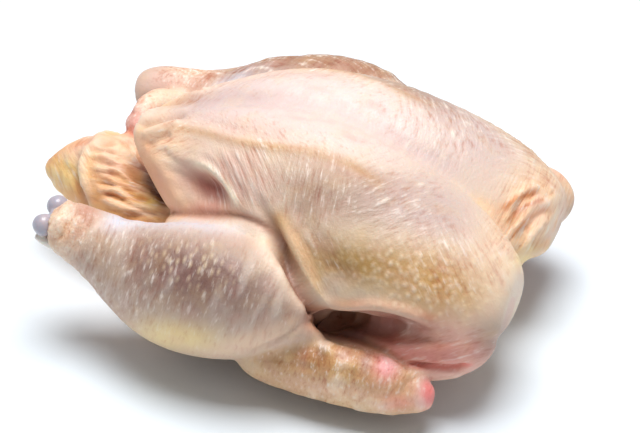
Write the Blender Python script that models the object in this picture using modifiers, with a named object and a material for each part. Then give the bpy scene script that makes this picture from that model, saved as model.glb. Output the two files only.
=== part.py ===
"""Whole raw chicken, dressed for the oven, lying on its back with the breast up.

One solid holds the carcass, the legs, the wings, the tail and the neck skin. The two shin bones
are solids of their own: each runs through its drumstick and shows its two knuckles at the hock.

Metres, +Z up. +X points at the neck, -Y at the bird's left side. The origin is on the resting
face, under the middle of the back.
"""

import math

import bmesh
import bpy
import numpy as np
from mathutils import Matrix, Vector

# No shift of a mirrored limb
NO_SHIFT = (0.0, 0.0, 0.0)

# Sides of the bird: it lies on its back with its neck towards +X
LEFT = -1
RIGHT = 1

# Cage resolution
RING_POINTS = 12
CAGE_LEVELS = 2

# Fused skin
SKIN_VOXEL = 0.0022
SKIN_SMOOTHING = 0.5
SKIN_SMOOTHING_STEPS = 3
SKIN_TRIANGLES = 8400

# Resting face: everything below z = 0 is cut away
FLOOR_CUT = 0.4

# Finishes: linear base colour, roughness
SKIN_FINISH = ((0.72, 0.50, 0.33), 0.38)
BONE_FINISH = ((0.33, 0.35, 0.42), 0.32)

# Shin bone, from the middle of its two knuckles at the hock to its blunt end inside the knee
HOCK = (-0.1087, 0.0555, 0.0542)
KNEE = (-0.018, 0.063, 0.043)
SHAFT_RADIUS = 0.0040
KNUCKLE_RADIUS = 0.0047
KNUCKLE_SPREAD = (0.0010, -0.0048, 0.0018)
BONE_GAP = 0.0004
BONE_SIDES = 12

# The bird isn't quite symmetric: the right leg lies higher and further out, its shin bone is drawn
# into the skin and lies lower in it, and the right shoulder stands forward
RIGHT_KNEE_SHIFT = (-0.006, 0.006, 0.012)
RIGHT_HOCK_SHIFT = (-0.014, 0.006, -0.0055)
RIGHT_BONE_RECESS = 0.0050
RIGHT_BONE_DROP = 0.0035
RIGHT_SHOULDER_SHIFT = (0.004, 0.006, 0.009)

# Carcass core: x, half width, height of the widest line, top, bottom
CORE_STATIONS = (
    (-0.082, 0.014, 0.034, 0.046, 0.022),
    (-0.072, 0.025, 0.030, 0.056, 0.006),
    (-0.050, 0.042, 0.028, 0.070, -0.006),
    (-0.015, 0.048, 0.026, 0.074, -0.008),
    (0.016, 0.050, 0.026, 0.070, -0.007),
    (0.038, 0.047, 0.028, 0.062, 0.000),
    (0.056, 0.040, 0.032, 0.052, 0.013),
    (0.068, 0.028, 0.036, 0.046, 0.023),
)

# One breast lobe: x, distance of its middle from the keel, half width, height, rise above, drop below
LOBE_STATIONS = (
    (-0.094, 0.003, 0.005, 0.068, 0.005, 0.005),
    (-0.086, 0.005, 0.012, 0.065, 0.012, 0.009),
    (-0.073, 0.008, 0.022, 0.060, 0.024, 0.014),
    (-0.058, 0.011, 0.031, 0.056, 0.034, 0.020),
    (-0.034, 0.015, 0.040, 0.053, 0.046, 0.024),
    (-0.002, 0.019, 0.046, 0.050, 0.049, 0.018),
    (0.024, 0.022, 0.046, 0.048, 0.042, 0.013),
    (0.048, 0.025, 0.041, 0.046, 0.034, 0.013),
    (0.067, 0.028, 0.033, 0.043, 0.026, 0.013),
    (0.081, 0.030, 0.020, 0.041, 0.014, 0.010),
)

# Left limbs: x, distance from the keel plane, z, half width, half height
THIGH_STATIONS = (
    (-0.064, 0.026, 0.036, 0.012, 0.016),
    (-0.055, 0.031, 0.037, 0.022, 0.027),
    (-0.040, 0.036, 0.039, 0.027, 0.031),
    (-0.016, 0.039, 0.040, 0.023, 0.028),
    (0.002, 0.044, 0.038, 0.017, 0.020),
    (0.012, 0.048, 0.037, 0.009, 0.011),
)
DRUMSTICK_STATIONS = (
    (-0.1070, 0.0555, 0.0495, 0.0108, 0.0100),
    (-0.102, 0.0555, 0.0500, 0.0118, 0.0120),
    (-0.096, 0.0560, 0.0485, 0.0120, 0.0135),
    (-0.084, 0.0565, 0.0445, 0.0145, 0.0160),
    (-0.071, 0.0580, 0.0390, 0.0200, 0.0215),
    (-0.056, 0.0605, 0.0375, 0.0250, 0.0280),
    (-0.040, 0.0620, 0.0385, 0.0270, 0.0290),
    (-0.022, 0.0640, 0.0420, 0.0260, 0.0280),
    (-0.006, 0.0650, 0.0430, 0.0210, 0.0230),
    (0.006, 0.0660, 0.0400, 0.0140, 0.0155),
    (0.015, 0.0660, 0.0380, 0.0070, 0.0080),
)
UPPER_WING_STATIONS = (
    (0.071, 0.042, 0.037, 0.011, 0.012),
    (0.067, 0.046, 0.031, 0.016, 0.016),
    (0.042, 0.050, 0.025, 0.016, 0.016),
    (0.010, 0.056, 0.020, 0.012, 0.013),
    (-0.012, 0.062, 0.017, 0.010, 0.011),
    (-0.020, 0.064, 0.017, 0.006, 0.007),
)
FOREWING_STATIONS = (
    (-0.020, 0.067, 0.018, 0.006, 0.007),
    (-0.012, 0.070, 0.019, 0.009, 0.012),
    (0.006, 0.0720, 0.0215, 0.0095, 0.0140),
    (0.027, 0.0725, 0.0210, 0.0095, 0.0145),
    (0.045, 0.0705, 0.0185, 0.0095, 0.0120),
    (0.055, 0.0680, 0.0165, 0.0075, 0.0085),
    (0.061, 0.0665, 0.0155, 0.0040, 0.0050),
)
TAIL_STATIONS = (
    (-0.050, 0.000, 0.014, 0.026, 0.014),
    (-0.074, 0.000, 0.025, 0.034, 0.024),
    (-0.094, -0.002, 0.031, 0.028, 0.023),
    (-0.109, -0.003, 0.036, 0.022, 0.0225),
    (-0.122, -0.002, 0.038, 0.016, 0.0175),
    (-0.133, -0.001, 0.037, 0.010, 0.0105),
    (-0.140, -0.001, 0.037, 0.003, 0.003),
)
NECK_SKIN_STATIONS = (
    (0.046, 0.006, 0.050, 0.034, 0.018),
    (0.058, 0.009, 0.047, 0.031, 0.016),
    (0.066, 0.009, 0.039, 0.024, 0.013),
    (0.066, 0.006, 0.029, 0.015, 0.008),
)
# Flesh at the right rim of the vent, from the leg to the tail
VENT_FLESH_STATIONS = (
    (-0.098, 0.050, 0.044, 0.008, 0.009),
    (-0.104, 0.041, 0.053, 0.006, 0.010),
    (-0.107, 0.031, 0.057, 0.005, 0.009),
    (-0.106, 0.023, 0.053, 0.005, 0.009),
    (-0.101, 0.017, 0.045, 0.006, 0.009),
)
CAVITY_STATIONS = (
    (-0.112, 0.000, 0.066, 0.010, 0.005),
    (-0.102, 0.000, 0.061, 0.014, 0.007),
    (-0.090, 0.000, 0.056, 0.017, 0.010),
    (-0.075, 0.000, 0.051, 0.019, 0.013),
    (-0.052, 0.000, 0.046, 0.023, 0.017),
    (-0.022, 0.000, 0.043, 0.026, 0.021),
    (0.010, 0.000, 0.041, 0.021, 0.018),
    (0.026, 0.000, 0.040, 0.009, 0.008),
)


def clear_scene():
    """Removes every object that the file already holds."""
    for old in list(bpy.data.objects):
        bpy.data.objects.remove(old)


def loft(name, rings, collection):
    """Bridges rings of points into one closed cage, with a flat cap on each end."""
    count = len(rings[0])
    points = [tuple(p) for ring in rings for p in ring]
    faces = []
    for row in range(len(rings) - 1):
        for i in range(count):
            j = (i + 1) % count
            faces.append(
                (row * count + i, row * count + j, (row + 1) * count + j, (row + 1) * count + i)
            )
    faces.append(tuple(reversed(range(count))))
    faces.append(tuple((len(rings) - 1) * count + i for i in range(count)))
    mesh = bpy.data.meshes.new(name)
    mesh.from_pydata(points, [], faces)
    obj = bpy.data.objects.new(name, mesh)
    collection.objects.link(obj)
    soften = obj.modifiers.new("Soften", "SUBSURF")
    soften.levels = soften.render_levels = CAGE_LEVELS
    return obj


def ring_angles():
    """The angles of a ring's points, anticlockwise as seen from +X."""
    return np.arange(RING_POINTS) * 2 * math.pi / RING_POINTS


def upright_ring(x, y, z, half_width, rise, drop):
    """An egg-shaped ring square to X: an ellipse whose upper and lower halves have their own heights."""
    angle = ring_angles()
    height = np.where(np.sin(angle) > 0, rise, drop)
    return np.column_stack(
        (np.full(RING_POINTS, x), y + half_width * np.cos(angle), z + height * np.sin(angle))
    )


def path_rings(stations, side):
    """Elliptic rings square to a limb's path. side is LEFT or RIGHT."""
    centres = np.array([(x, side * off, z) for x, off, z, _, _ in stations])
    tangents = np.gradient(centres, axis=0)
    rings = []
    for centre, tangent, (_, _, _, half_width, half_height) in zip(centres, tangents, stations):
        along = Vector(tangent).normalized()
        across = Vector((0, 0, 1)).cross(along).normalized()
        upward = along.cross(across)
        angle = ring_angles()
        rings.append(
            centre
            + half_width * np.outer(np.cos(angle), across)
            + half_height * np.outer(np.sin(angle), upward)
        )
    return rings


def carcass_core(collection):
    """The back, ribs and flanks, from the tail's root to the base of the neck."""
    rings = [
        upright_ring(x, 0.0, middle, half_width, top - middle, middle - bottom)
        for x, half_width, middle, top, bottom in CORE_STATIONS
    ]
    return loft("chicken", rings, collection)


def breast_lobe(side, collection):
    """One half of the breast, a long egg beside the keel."""
    rings = [upright_ring(x, side * off, z, w, rise, drop) for x, off, w, z, rise, drop in LOBE_STATIONS]
    return loft("breast_lobe", rings, collection)


def limb(name, stations, side, collection, root_shift=NO_SHIFT, tip_shift=NO_SHIFT):
    """A leg or wing section, swept along its own path. The shifts move its first and last rings."""
    rings = path_rings(stations, side)
    share = np.linspace(0.0, 1.0, len(rings))
    moved = [
        ring + (1 - t) * np.array(root_shift) + t * np.array(tip_shift)
        for ring, t in zip(rings, share)
    ]
    return loft(name, moved, collection)


def leg_shifts(side):
    """How far a leg's hock and knee lie from the mirrored left leg's."""
    if side == RIGHT:
        return RIGHT_HOCK_SHIFT, RIGHT_KNEE_SHIFT
    return NO_SHIFT, NO_SHIFT


def material(name, finish):
    """A plain material of one finish."""
    base_color, roughness = finish
    made = bpy.data.materials.new(name)
    made.use_nodes = True
    shader = made.node_tree.nodes["Principled BSDF"]
    shader.inputs["Base Color"].default_value = (*base_color, 1.0)
    shader.inputs["Roughness"].default_value = roughness
    shader.inputs["Metallic"].default_value = 0.0
    return made


def outwards(obj):
    """Turns every face of a cage outwards."""
    work = bmesh.new()
    work.from_mesh(obj.data)
    bmesh.ops.recalc_face_normals(work, faces=work.faces)
    work.to_mesh(obj.data)
    work.free()


def evaluated_mesh(obj):
    """The mesh of an object with its modifiers applied."""
    graph = bpy.context.evaluated_depsgraph_get()
    return bpy.data.meshes.new_from_object(obj.evaluated_get(graph))


def apply_modifiers(obj):
    """Replaces an object's mesh by its modified mesh."""
    mesh = evaluated_mesh(obj)
    obj.modifiers.clear()
    obj.data = mesh


def boolean(obj, operation, other=None, collection=None):
    """Adds a Boolean with one object or with a collection, and applies it."""
    step = obj.modifiers.new(operation.title(), "BOOLEAN")
    step.operation = operation
    step.solver = "EXACT"
    if collection is None:
        step.object = other
    else:
        step.operand_type = "COLLECTION"
        step.collection = collection
    apply_modifiers(obj)


def grow_skin(core):
    """Lets one skin bridge the creases between the fused forms, then thins it to its triangle budget."""
    remesh = core.modifiers.new("Skin", "REMESH")
    remesh.mode = "VOXEL"
    remesh.voxel_size = SKIN_VOXEL
    smooth = core.modifiers.new("Relax", "SMOOTH")
    smooth.factor = SKIN_SMOOTHING
    smooth.iterations = SKIN_SMOOTHING_STEPS
    apply_modifiers(core)
    thin = core.modifiers.new("Thin", "DECIMATE")
    thin.ratio = SKIN_TRIANGLES / (2 * len(core.data.polygons))
    apply_modifiers(core)


def solid_from(name, shapes, collection):
    """One object whose mesh is the union of some bmesh shapes, each given as a function that adds it."""
    pieces = []
    for add_shape in shapes:
        work = bmesh.new()
        add_shape(work)
        mesh = bpy.data.meshes.new(name)
        work.to_mesh(mesh)
        work.free()
        piece = bpy.data.objects.new(name, mesh)
        collection.objects.link(piece)
        pieces.append(piece)
    first = pieces[0]
    for other in pieces[1:]:
        boolean(first, "UNION", other=other)
        bpy.data.objects.remove(other)
    first.name = name
    return first


def shin_bone(name, side, grow, collection):
    """A shaft with two round knuckles at the hock. grow widens it, for the channel that it lies in."""
    hock_shift, knee_shift = leg_shifts(side)
    mirror = Vector((1, side, 1))
    hock = Vector(HOCK) * mirror + Vector(hock_shift)
    knee = Vector(KNEE) * mirror + Vector(knee_shift)
    if side == RIGHT:
        hock.z -= RIGHT_BONE_DROP
        hock += (knee - hock).normalized() * RIGHT_BONE_RECESS
    spread = Vector(KNUCKLE_SPREAD) * mirror
    length = (knee - hock).length + grow
    turn = (knee - hock).to_track_quat("Z", "Y").to_matrix().to_4x4()

    def shaft(work):
        middle = hock + (knee - hock).normalized() * length / 2
        bmesh.ops.create_cone(
            work, cap_ends=True, segments=BONE_SIDES, radius1=SHAFT_RADIUS + grow,
            radius2=SHAFT_RADIUS + grow, depth=length, matrix=Matrix.Translation(middle) @ turn,
        )

    def knuckle(way):
        def add_knuckle(work):
            bmesh.ops.create_uvsphere(
                work, u_segments=BONE_SIDES, v_segments=BONE_SIDES // 2 + 1,
                radius=KNUCKLE_RADIUS + grow, matrix=Matrix.Translation(hock + way * spread) @ turn,
            )
        return add_knuckle

    return solid_from(name, (shaft, knuckle(-1), knuckle(1)), collection)


def floor_cutter(collection):
    """A block that fills everything below the resting face."""
    work = bmesh.new()
    bmesh.ops.create_cube(
        work, size=FLOOR_CUT, matrix=Matrix.Translation((0, 0, -FLOOR_CUT / 2))
    )
    mesh = bpy.data.meshes.new("floor")
    work.to_mesh(mesh)
    work.free()
    cutter = bpy.data.objects.new("floor", mesh)
    collection.objects.link(cutter)
    return cutter


def build():
    """Builds every node."""
    clear_scene()
    parts = bpy.data.collections.new("whole_raw_chicken")
    forms = bpy.data.collections.new("forms")
    cutters = bpy.data.collections.new("cutters")
    for collection in (parts, forms, cutters):
        bpy.context.scene.collection.children.link(collection)

    chicken = carcass_core(parts)
    for side in (LEFT, RIGHT):
        hock_shift, knee_shift = leg_shifts(side)
        breast_lobe(side, forms)
        limb("thigh", THIGH_STATIONS, side, forms, tip_shift=knee_shift)
        limb("drumstick", DRUMSTICK_STATIONS, side, forms, hock_shift, knee_shift)
        shoulder_shift = RIGHT_SHOULDER_SHIFT if side == RIGHT else NO_SHIFT
        limb("upper_wing", UPPER_WING_STATIONS, side, forms, root_shift=shoulder_shift)
        limb("forewing", FOREWING_STATIONS, side, forms)
    limb("tail", TAIL_STATIONS, LEFT, forms)
    limb("neck_skin", NECK_SKIN_STATIONS, RIGHT, forms)
    limb("vent_flesh", VENT_FLESH_STATIONS, RIGHT, forms)
    cavity = limb("cavity", CAVITY_STATIONS, LEFT, cutters)
    for cage in (chicken, cavity, *forms.objects):
        outwards(cage)

    boolean(chicken, "UNION", collection=forms)
    boolean(chicken, "DIFFERENCE", other=cavity)
    grow_skin(chicken)
    boolean(chicken, "DIFFERENCE", other=floor_cutter(cutters))
    for side, name in ((LEFT, "left_shin_bone"), (RIGHT, "right_shin_bone")):
        boolean(chicken, "DIFFERENCE", other=shin_bone("channel", side, BONE_GAP, cutters))
        bone = shin_bone(name, side, 0.0, parts)
        bone.data.materials.append(material(f"{name}_finish", BONE_FINISH))
    chicken.data.materials.clear()
    chicken.data.materials.append(material("skin_finish", SKIN_FINISH))

    for helper in (*forms.objects, *cutters.objects):
        bpy.data.objects.remove(helper)
    for collection in (forms, cutters):
        bpy.data.collections.remove(collection)


build()
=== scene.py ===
"""Looks of a whole raw chicken that lies on its back with the breast up.

The skin is one closed surface. Its forms are B-spline surfaces over rings, fused by a voxel remesh,
and its folds, hollows, wrinkles and goose bumps are then raised on it as functions of where each
point lies. The two shin bones that show at the hocks are surfaces of their own.

Metres, +Z up, +X to the neck, -Y to the bird's left side. Places written in the picture plane are
(right, down) in a frame of 640 by 433 units, as the camera sees the bird.
"""

from __future__ import annotations

import logging
import math
from dataclasses import dataclass, field
from enum import Enum

import bpy
import numpy as np
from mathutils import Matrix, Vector

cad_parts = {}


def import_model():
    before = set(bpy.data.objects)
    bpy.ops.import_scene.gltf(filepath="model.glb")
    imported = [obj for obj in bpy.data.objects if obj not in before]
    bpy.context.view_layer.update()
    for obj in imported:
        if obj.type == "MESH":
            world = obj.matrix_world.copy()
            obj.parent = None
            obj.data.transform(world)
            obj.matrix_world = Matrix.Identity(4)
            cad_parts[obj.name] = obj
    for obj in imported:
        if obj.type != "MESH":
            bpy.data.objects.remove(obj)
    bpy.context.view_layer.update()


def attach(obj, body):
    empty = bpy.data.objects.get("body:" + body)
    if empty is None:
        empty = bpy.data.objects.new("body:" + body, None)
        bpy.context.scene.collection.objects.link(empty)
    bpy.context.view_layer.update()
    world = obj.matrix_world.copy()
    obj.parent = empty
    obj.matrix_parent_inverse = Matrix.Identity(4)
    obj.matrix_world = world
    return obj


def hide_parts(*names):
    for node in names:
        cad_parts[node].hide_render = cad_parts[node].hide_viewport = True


LOG = logging.getLogger("raw_chicken")

FRAME_WIDTH = 640
FRAME_HEIGHT = 433
MM = 0.001
UP = (0.0, 0.0, 1.0)
STILL = (0.0, 0.0, 0.0)
NO_TINT = (0.0, 0.0, 0.0)
TAPER = (0.16, 0.16)


class Side(Enum):
    """Which half of the bird a thing is on; SEEN is all of it as the camera sees it."""

    LEFT = -1
    RIGHT = 1
    BOTH = 0
    SEEN = 2


class Region(Enum):
    """The parts of the body that the skin covers."""

    CORE = 0
    BREAST = 1
    THIGH = 2
    LEG = 3
    UPPER_WING = 4
    WING = 5
    TAIL = 6
    NECK = 7
    VENT = 8


ANYWHERE = tuple(Region)
BODY = (Region.CORE, Region.BREAST, Region.THIGH, Region.NECK)
TRUNK = (Region.CORE, Region.BREAST, Region.THIGH)
TRUNK_AND_LEG = (*TRUNK, Region.LEG)
LEG = (Region.LEG,)
WING = (Region.WING,)
TAIL = (Region.TAIL,)
TAIL_AND_CORE = (Region.TAIL, Region.CORE)
NECK_AND_BREAST = (Region.NECK, Region.BREAST)
VENT = (Region.VENT,)


# Surfaces from numbers


def spline_weights(count: int, samples: int, closed: bool) -> np.ndarray:
    """Weights of a uniform cubic B-spline.

    A sample a share f past control point i blends four neighbours by (1-f)^3, 3f^3-6f^2+4,
    -3f^3+3f^2+3f+1 and f^3, all over 6.

    Args:
        count: Number of control points.
        samples: Number of samples along the whole spline.
        closed: True if the last point joins the first.

    Returns:
        A matrix of samples by count.
    """
    span = count if closed else count - 3
    place = np.linspace(0.0, span, samples, endpoint=not closed)
    first = np.minimum(place.astype(int), span - 1)
    f = place - first
    blend = np.stack(
        ((1 - f) ** 3, 3 * f**3 - 6 * f**2 + 4, -3 * f**3 + 3 * f**2 + 3 * f + 1, f**3), axis=1
    )
    weights = np.zeros((samples, count))
    for step in range(4):
        np.add.at(weights, (np.arange(samples), (first + step) % count), blend[:, step] / 6)
    return weights


def ease(share: np.ndarray) -> np.ndarray:
    """A share from 0 to 1 that leaves 0 and reaches 1 gently, by 3t^2-2t^3."""
    return share * share * (3 - 2 * share)


def unit(vectors: np.ndarray) -> np.ndarray:
    """Vectors scaled to length one."""
    return vectors / np.maximum(np.linalg.norm(vectors, axis=-1, keepdims=True), 1e-12)


@dataclass(frozen=True)
class Form:
    """One rounded form of the body: an egg-shaped ring carried along a path.

    A point is centre + half width * cos(a) * across + height * sin(a) * upward, where the height is
    the rise above the widest line or the drop below it, and a B-spline smooths the rings both ways.

    Attributes:
        region: The part of the body that it makes.
        rings: Rows of x, y, z, half width, rise and drop.
        upright: True if each ring stands square to X, false if it stands square to the path.
        across: Samples round a ring.
    """

    region: Region
    rings: np.ndarray
    upright: bool = False
    across: int = 72

    RING_POINTS = 12
    ROWS_PER_RING = 7
    CAP_SHARE = 0.62
    SHRINK = 0.955
    AXIS_SAMPLES = 60
    OFFSET_PULL = 0.15

    def axes(self) -> tuple[np.ndarray, np.ndarray, np.ndarray]:
        """Directions along, across and up at each ring."""
        centres = self.rings[:, :3]
        if self.upright:
            along = np.tile((1.0, 0.0, 0.0), (len(centres), 1))
        else:
            along = unit(np.gradient(centres, axis=0))
        across = unit(np.cross(UP, along))
        return along, across, np.cross(along, across)

    def cage(self) -> np.ndarray:
        """Control points, ring by ring, drawn together to a point past each end."""
        _, across, upward = self.axes()
        angle = np.arange(self.RING_POINTS) * 2 * math.pi / self.RING_POINTS
        up = np.where(np.sin(angle) > 0, self.rings[:, 4:5], self.rings[:, 5:6])
        offset = (
            self.rings[:, 3, None, None] * np.cos(angle)[None, :, None] * across[:, None, :]
            + (up * np.sin(angle))[:, :, None] * upward[:, None, :]
        )
        centre = self.rings[:, None, :3]
        rows = centre + offset
        start, end = centre[:1] + 0 * rows[:1], centre[-1:] + 0 * rows[-1:]
        near = centre[:1] + self.CAP_SHARE * offset[:1]
        far = centre[-1:] + self.CAP_SHARE * offset[-1:]
        return np.concatenate((start, start, start, near, rows, far, end, end, end))

    def grid(self) -> np.ndarray:
        """The surface as rows of points, from one pole to the other."""
        cage = self.cage()
        along = spline_weights(len(cage), self.ROWS_PER_RING * len(cage), closed=False)
        around = spline_weights(self.RING_POINTS, self.across, closed=True)
        return np.einsum("ri,cj,ijk->rck", along, around, cage)

    def locate(self, points: np.ndarray) -> tuple[np.ndarray, np.ndarray, np.ndarray]:
        """Where points lie on the form.

        Args:
            points: Rows of x, y, z.

        Returns:
            Distance outside the surface, share along the path and angle round it.
        """
        share = np.linspace(0, 1, self.AXIS_SAMPLES)
        station = np.linspace(0, 1, len(self.rings))
        table = np.stack([np.interp(share, station, column) for column in self.rings.T], axis=1)
        along, across, upward = Form(self.region, table, self.upright).axes()
        offset = points[:, None, :] - table[None, :, :3]
        past = np.einsum("nki,ki->nk", offset, along)
        reach = np.abs(past) + self.OFFSET_PULL * np.linalg.norm(offset, axis=2)
        nearest = np.argmin(reach, axis=1)
        row = np.arange(len(points))
        offset = offset[row, nearest]
        a = np.einsum("ni,ni->n", offset, across[nearest])
        b = np.einsum("ni,ni->n", offset, upward[nearest])
        width = table[nearest, 3] * self.SHRINK
        height = np.where(b > 0, table[nearest, 4], table[nearest, 5]) * self.SHRINK
        ratio = np.sqrt((a / width) ** 2 + (b / height) ** 2)
        distance = (ratio - 1) * np.sqrt((width**2 + height**2) / 2)
        turn = np.arctan2(b / height, a / width)
        return distance + np.abs(past[row, nearest]), share[nearest], turn


def grid_faces(rows: int, columns: int, offset: int = 0) -> np.ndarray:
    """Corner numbers of the quads of a grid that closes on itself across its rows."""
    r, c = np.meshgrid(np.arange(rows - 1), np.arange(columns), indexing="ij")
    following = (c + 1) % columns
    here, below = r * columns, (r + 1) * columns
    corners = np.stack((here + c, here + following, below + following, below + c), axis=-1)
    return corners.reshape(-1, 4) + offset


def mesh_object(name: str, grids: list[np.ndarray]) -> bpy.types.Object:
    """One object that holds some closed grids as shells of its mesh."""
    points, faces, count = [], [], 0
    for grid in grids:
        rows, columns, _ = grid.shape
        points.append(grid.reshape(-1, 3))
        faces.append(grid_faces(rows, columns, count))
        count += rows * columns
    mesh = bpy.data.meshes.new(name)
    mesh.from_pydata(np.concatenate(points).tolist(), [], np.concatenate(faces).tolist())
    obj = bpy.data.objects.new(name, mesh)
    bpy.context.scene.collection.objects.link(obj)
    return obj


def bake_modifiers(obj: bpy.types.Object) -> None:
    """Replaces an object's mesh by its modified mesh."""
    graph = bpy.context.evaluated_depsgraph_get()
    mesh = bpy.data.meshes.new_from_object(obj.evaluated_get(graph))
    obj.modifiers.clear()
    obj.data = mesh


def fuse(obj: bpy.types.Object, voxel: float) -> None:
    """Fuses an object's shells into one even surface of quads about one voxel wide."""
    step = obj.modifiers.new("Fuse", "REMESH")
    step.mode = "VOXEL"
    step.voxel_size = voxel
    step.use_smooth_shade = True
    bake_modifiers(obj)


def carve(obj: bpy.types.Object, cutter: bpy.types.Object) -> None:
    """Cuts one closed shape out of another and removes the cutter."""
    step = obj.modifiers.new("Carve", "BOOLEAN")
    step.operation = "DIFFERENCE"
    step.solver = "MANIFOLD"
    step.object = cutter
    bake_modifiers(obj)
    bpy.data.objects.remove(cutter)


def vertex_array(mesh: bpy.types.Mesh) -> np.ndarray:
    """A mesh's vertices as rows of x, y, z."""
    flat = np.empty(len(mesh.vertices) * 3)
    mesh.vertices.foreach_get("co", flat)
    return flat.reshape(-1, 3)


def normal_array(mesh: bpy.types.Mesh) -> np.ndarray:
    """A mesh's vertex normals as rows of x, y, z."""
    flat = np.empty(len(mesh.vertices) * 3)
    mesh.vertex_normals.foreach_get("vector", flat)
    return flat.reshape(-1, 3)


def set_vertices(mesh: bpy.types.Mesh, points: np.ndarray) -> None:
    """Writes rows of x, y, z to a mesh's vertices."""
    mesh.vertices.foreach_set("co", points.ravel())
    mesh.update()


def relax(mesh: bpy.types.Mesh, points: np.ndarray, steps: int = 3, share: float = 0.5) -> np.ndarray:
    """Moves each vertex a share of the way to the mean of its neighbours, some steps over."""
    pairs = np.empty(len(mesh.edges) * 2, dtype=int)
    mesh.edges.foreach_get("vertices", pairs)
    a, b = pairs.reshape(-1, 2).T
    degree = np.bincount(np.concatenate((a, b)), minlength=len(points))[:, None]
    for _ in range(steps):
        total = np.stack(
            [
                np.bincount(a, points[b, k], len(points)) + np.bincount(b, points[a, k], len(points))
                for k in range(3)
            ],
            axis=1,
        )
        points = points + share * (total / degree - points)
    return points


# Patterns from numbers


X_FACTOR = 374761393
Y_FACTOR = 668265263
Z_FACTOR = 1274126177
SEED_FACTOR = 2147483647
LOW_BITS = 0xFFFF


def lattice(cells: np.ndarray, seed: int) -> np.ndarray:
    """A fixed number from 0 to 1 for each whole-numbered cell.

    Each coordinate is multiplied by a large number of its own, the sum's bits are shifted onto
    themselves twice, and the lowest sixteen are read.
    """
    h = cells[..., 0] * X_FACTOR + cells[..., 1] * Y_FACTOR + seed * SEED_FACTOR
    if cells.shape[-1] > 2:
        h = h + cells[..., 2] * Z_FACTOR
    h = (h ^ (h >> 13)) * Z_FACTOR
    return ((h ^ (h >> 16)) & LOW_BITS) / float(LOW_BITS)


def clouds(points: np.ndarray, seed: int) -> np.ndarray:
    """Smooth noise from -1 to 1: the numbers at a cell's eight corners, blended by 3f^2-2f^3."""
    cell = np.floor(points).astype(np.int64)
    f = ease(points - cell)
    total = np.zeros(len(points))
    for corner in np.ndindex(2, 2, 2):
        share = np.prod(np.where(np.array(corner) == 1, f, 1 - f), axis=1)
        total += share * lattice(cell + np.array(corner), seed)
    return total * 2 - 1


SPOT_SHARE = 0.62
SECOND_SEED = 7


def spots(plane: np.ndarray, radius: float, seed: int) -> np.ndarray:
    """Round bumps from 0 to 1, one at a chance place in each unit cell: exp(-(distance/radius)^2)."""
    cell = np.floor(plane).astype(np.int64)
    best = np.full(len(plane), np.inf)
    for dx in (-1, 0, 1):
        for dy in (-1, 0, 1):
            near = cell + np.array((dx, dy))
            chance = np.stack((lattice(near, seed), lattice(near, seed + SECOND_SEED)), axis=1)
            place = near + 0.5 + SPOT_SHARE * (chance - 0.5)
            best = np.minimum(best, np.sum((plane - place) ** 2, axis=1))
    return np.exp(-best / radius**2)


def distance_to_line(plane: np.ndarray, line: np.ndarray) -> tuple[np.ndarray, np.ndarray, np.ndarray]:
    """How points of a plane lie to a line of straight runs.

    Args:
        plane: Rows of right, down.
        line: Rows of right, down, at least two.

    Returns:
        Distance, the share along the line of the nearest place, and the side, +1 or -1.
    """
    starts, steps = line[:-1], np.diff(line, axis=0)
    lengths = np.maximum(np.hypot(*steps.T), 1e-9)
    offset = plane[:, None, :] - starts[None]
    t = np.clip(np.einsum("nki,ki->nk", offset, steps) / lengths**2, 0, 1)
    gap = offset - t[..., None] * steps[None]
    distance = np.hypot(gap[..., 0], gap[..., 1])
    best = np.argmin(distance, axis=1)
    row = np.arange(len(plane))
    before = np.concatenate(((0.0,), np.cumsum(lengths)))
    share = (before[best] + t[row, best] * lengths[best]) / before[-1]
    cross = steps[best, 0] * offset[row, best, 1] - steps[best, 1] * offset[row, best, 0]
    return distance[row, best], share, np.sign(cross)


def smooth_line(points: tuple[tuple[float, float], ...], samples: int = 28) -> np.ndarray:
    """A curve through some points, each run a blend of the two parabolas through its neighbours.

    Between b and c, with a before and d after them, a share f along the run lies at half of
    2b + (c-a)f + (2a-5b+4c-d)f^2 + (3b-a-3c+d)f^3.
    """
    p = np.array(points, dtype=float)
    if len(p) < 3:
        return p
    p = np.concatenate((2 * p[:1] - p[1:2], p, 2 * p[-1:] - p[-2:-1]))
    place = np.linspace(0, len(p) - 3, samples)
    i = np.minimum(place.astype(int), len(p) - 4)
    f = (place - i)[:, None]
    a, b, c, d = p[i], p[i + 1], p[i + 2], p[i + 3]
    square, cube = 2 * a - 5 * b + 4 * c - d, 3 * b - a - 3 * c + d
    return 0.5 * (2 * b + (c - a) * f + square * f**2 + cube * f**3)


# The camera's plane


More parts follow.
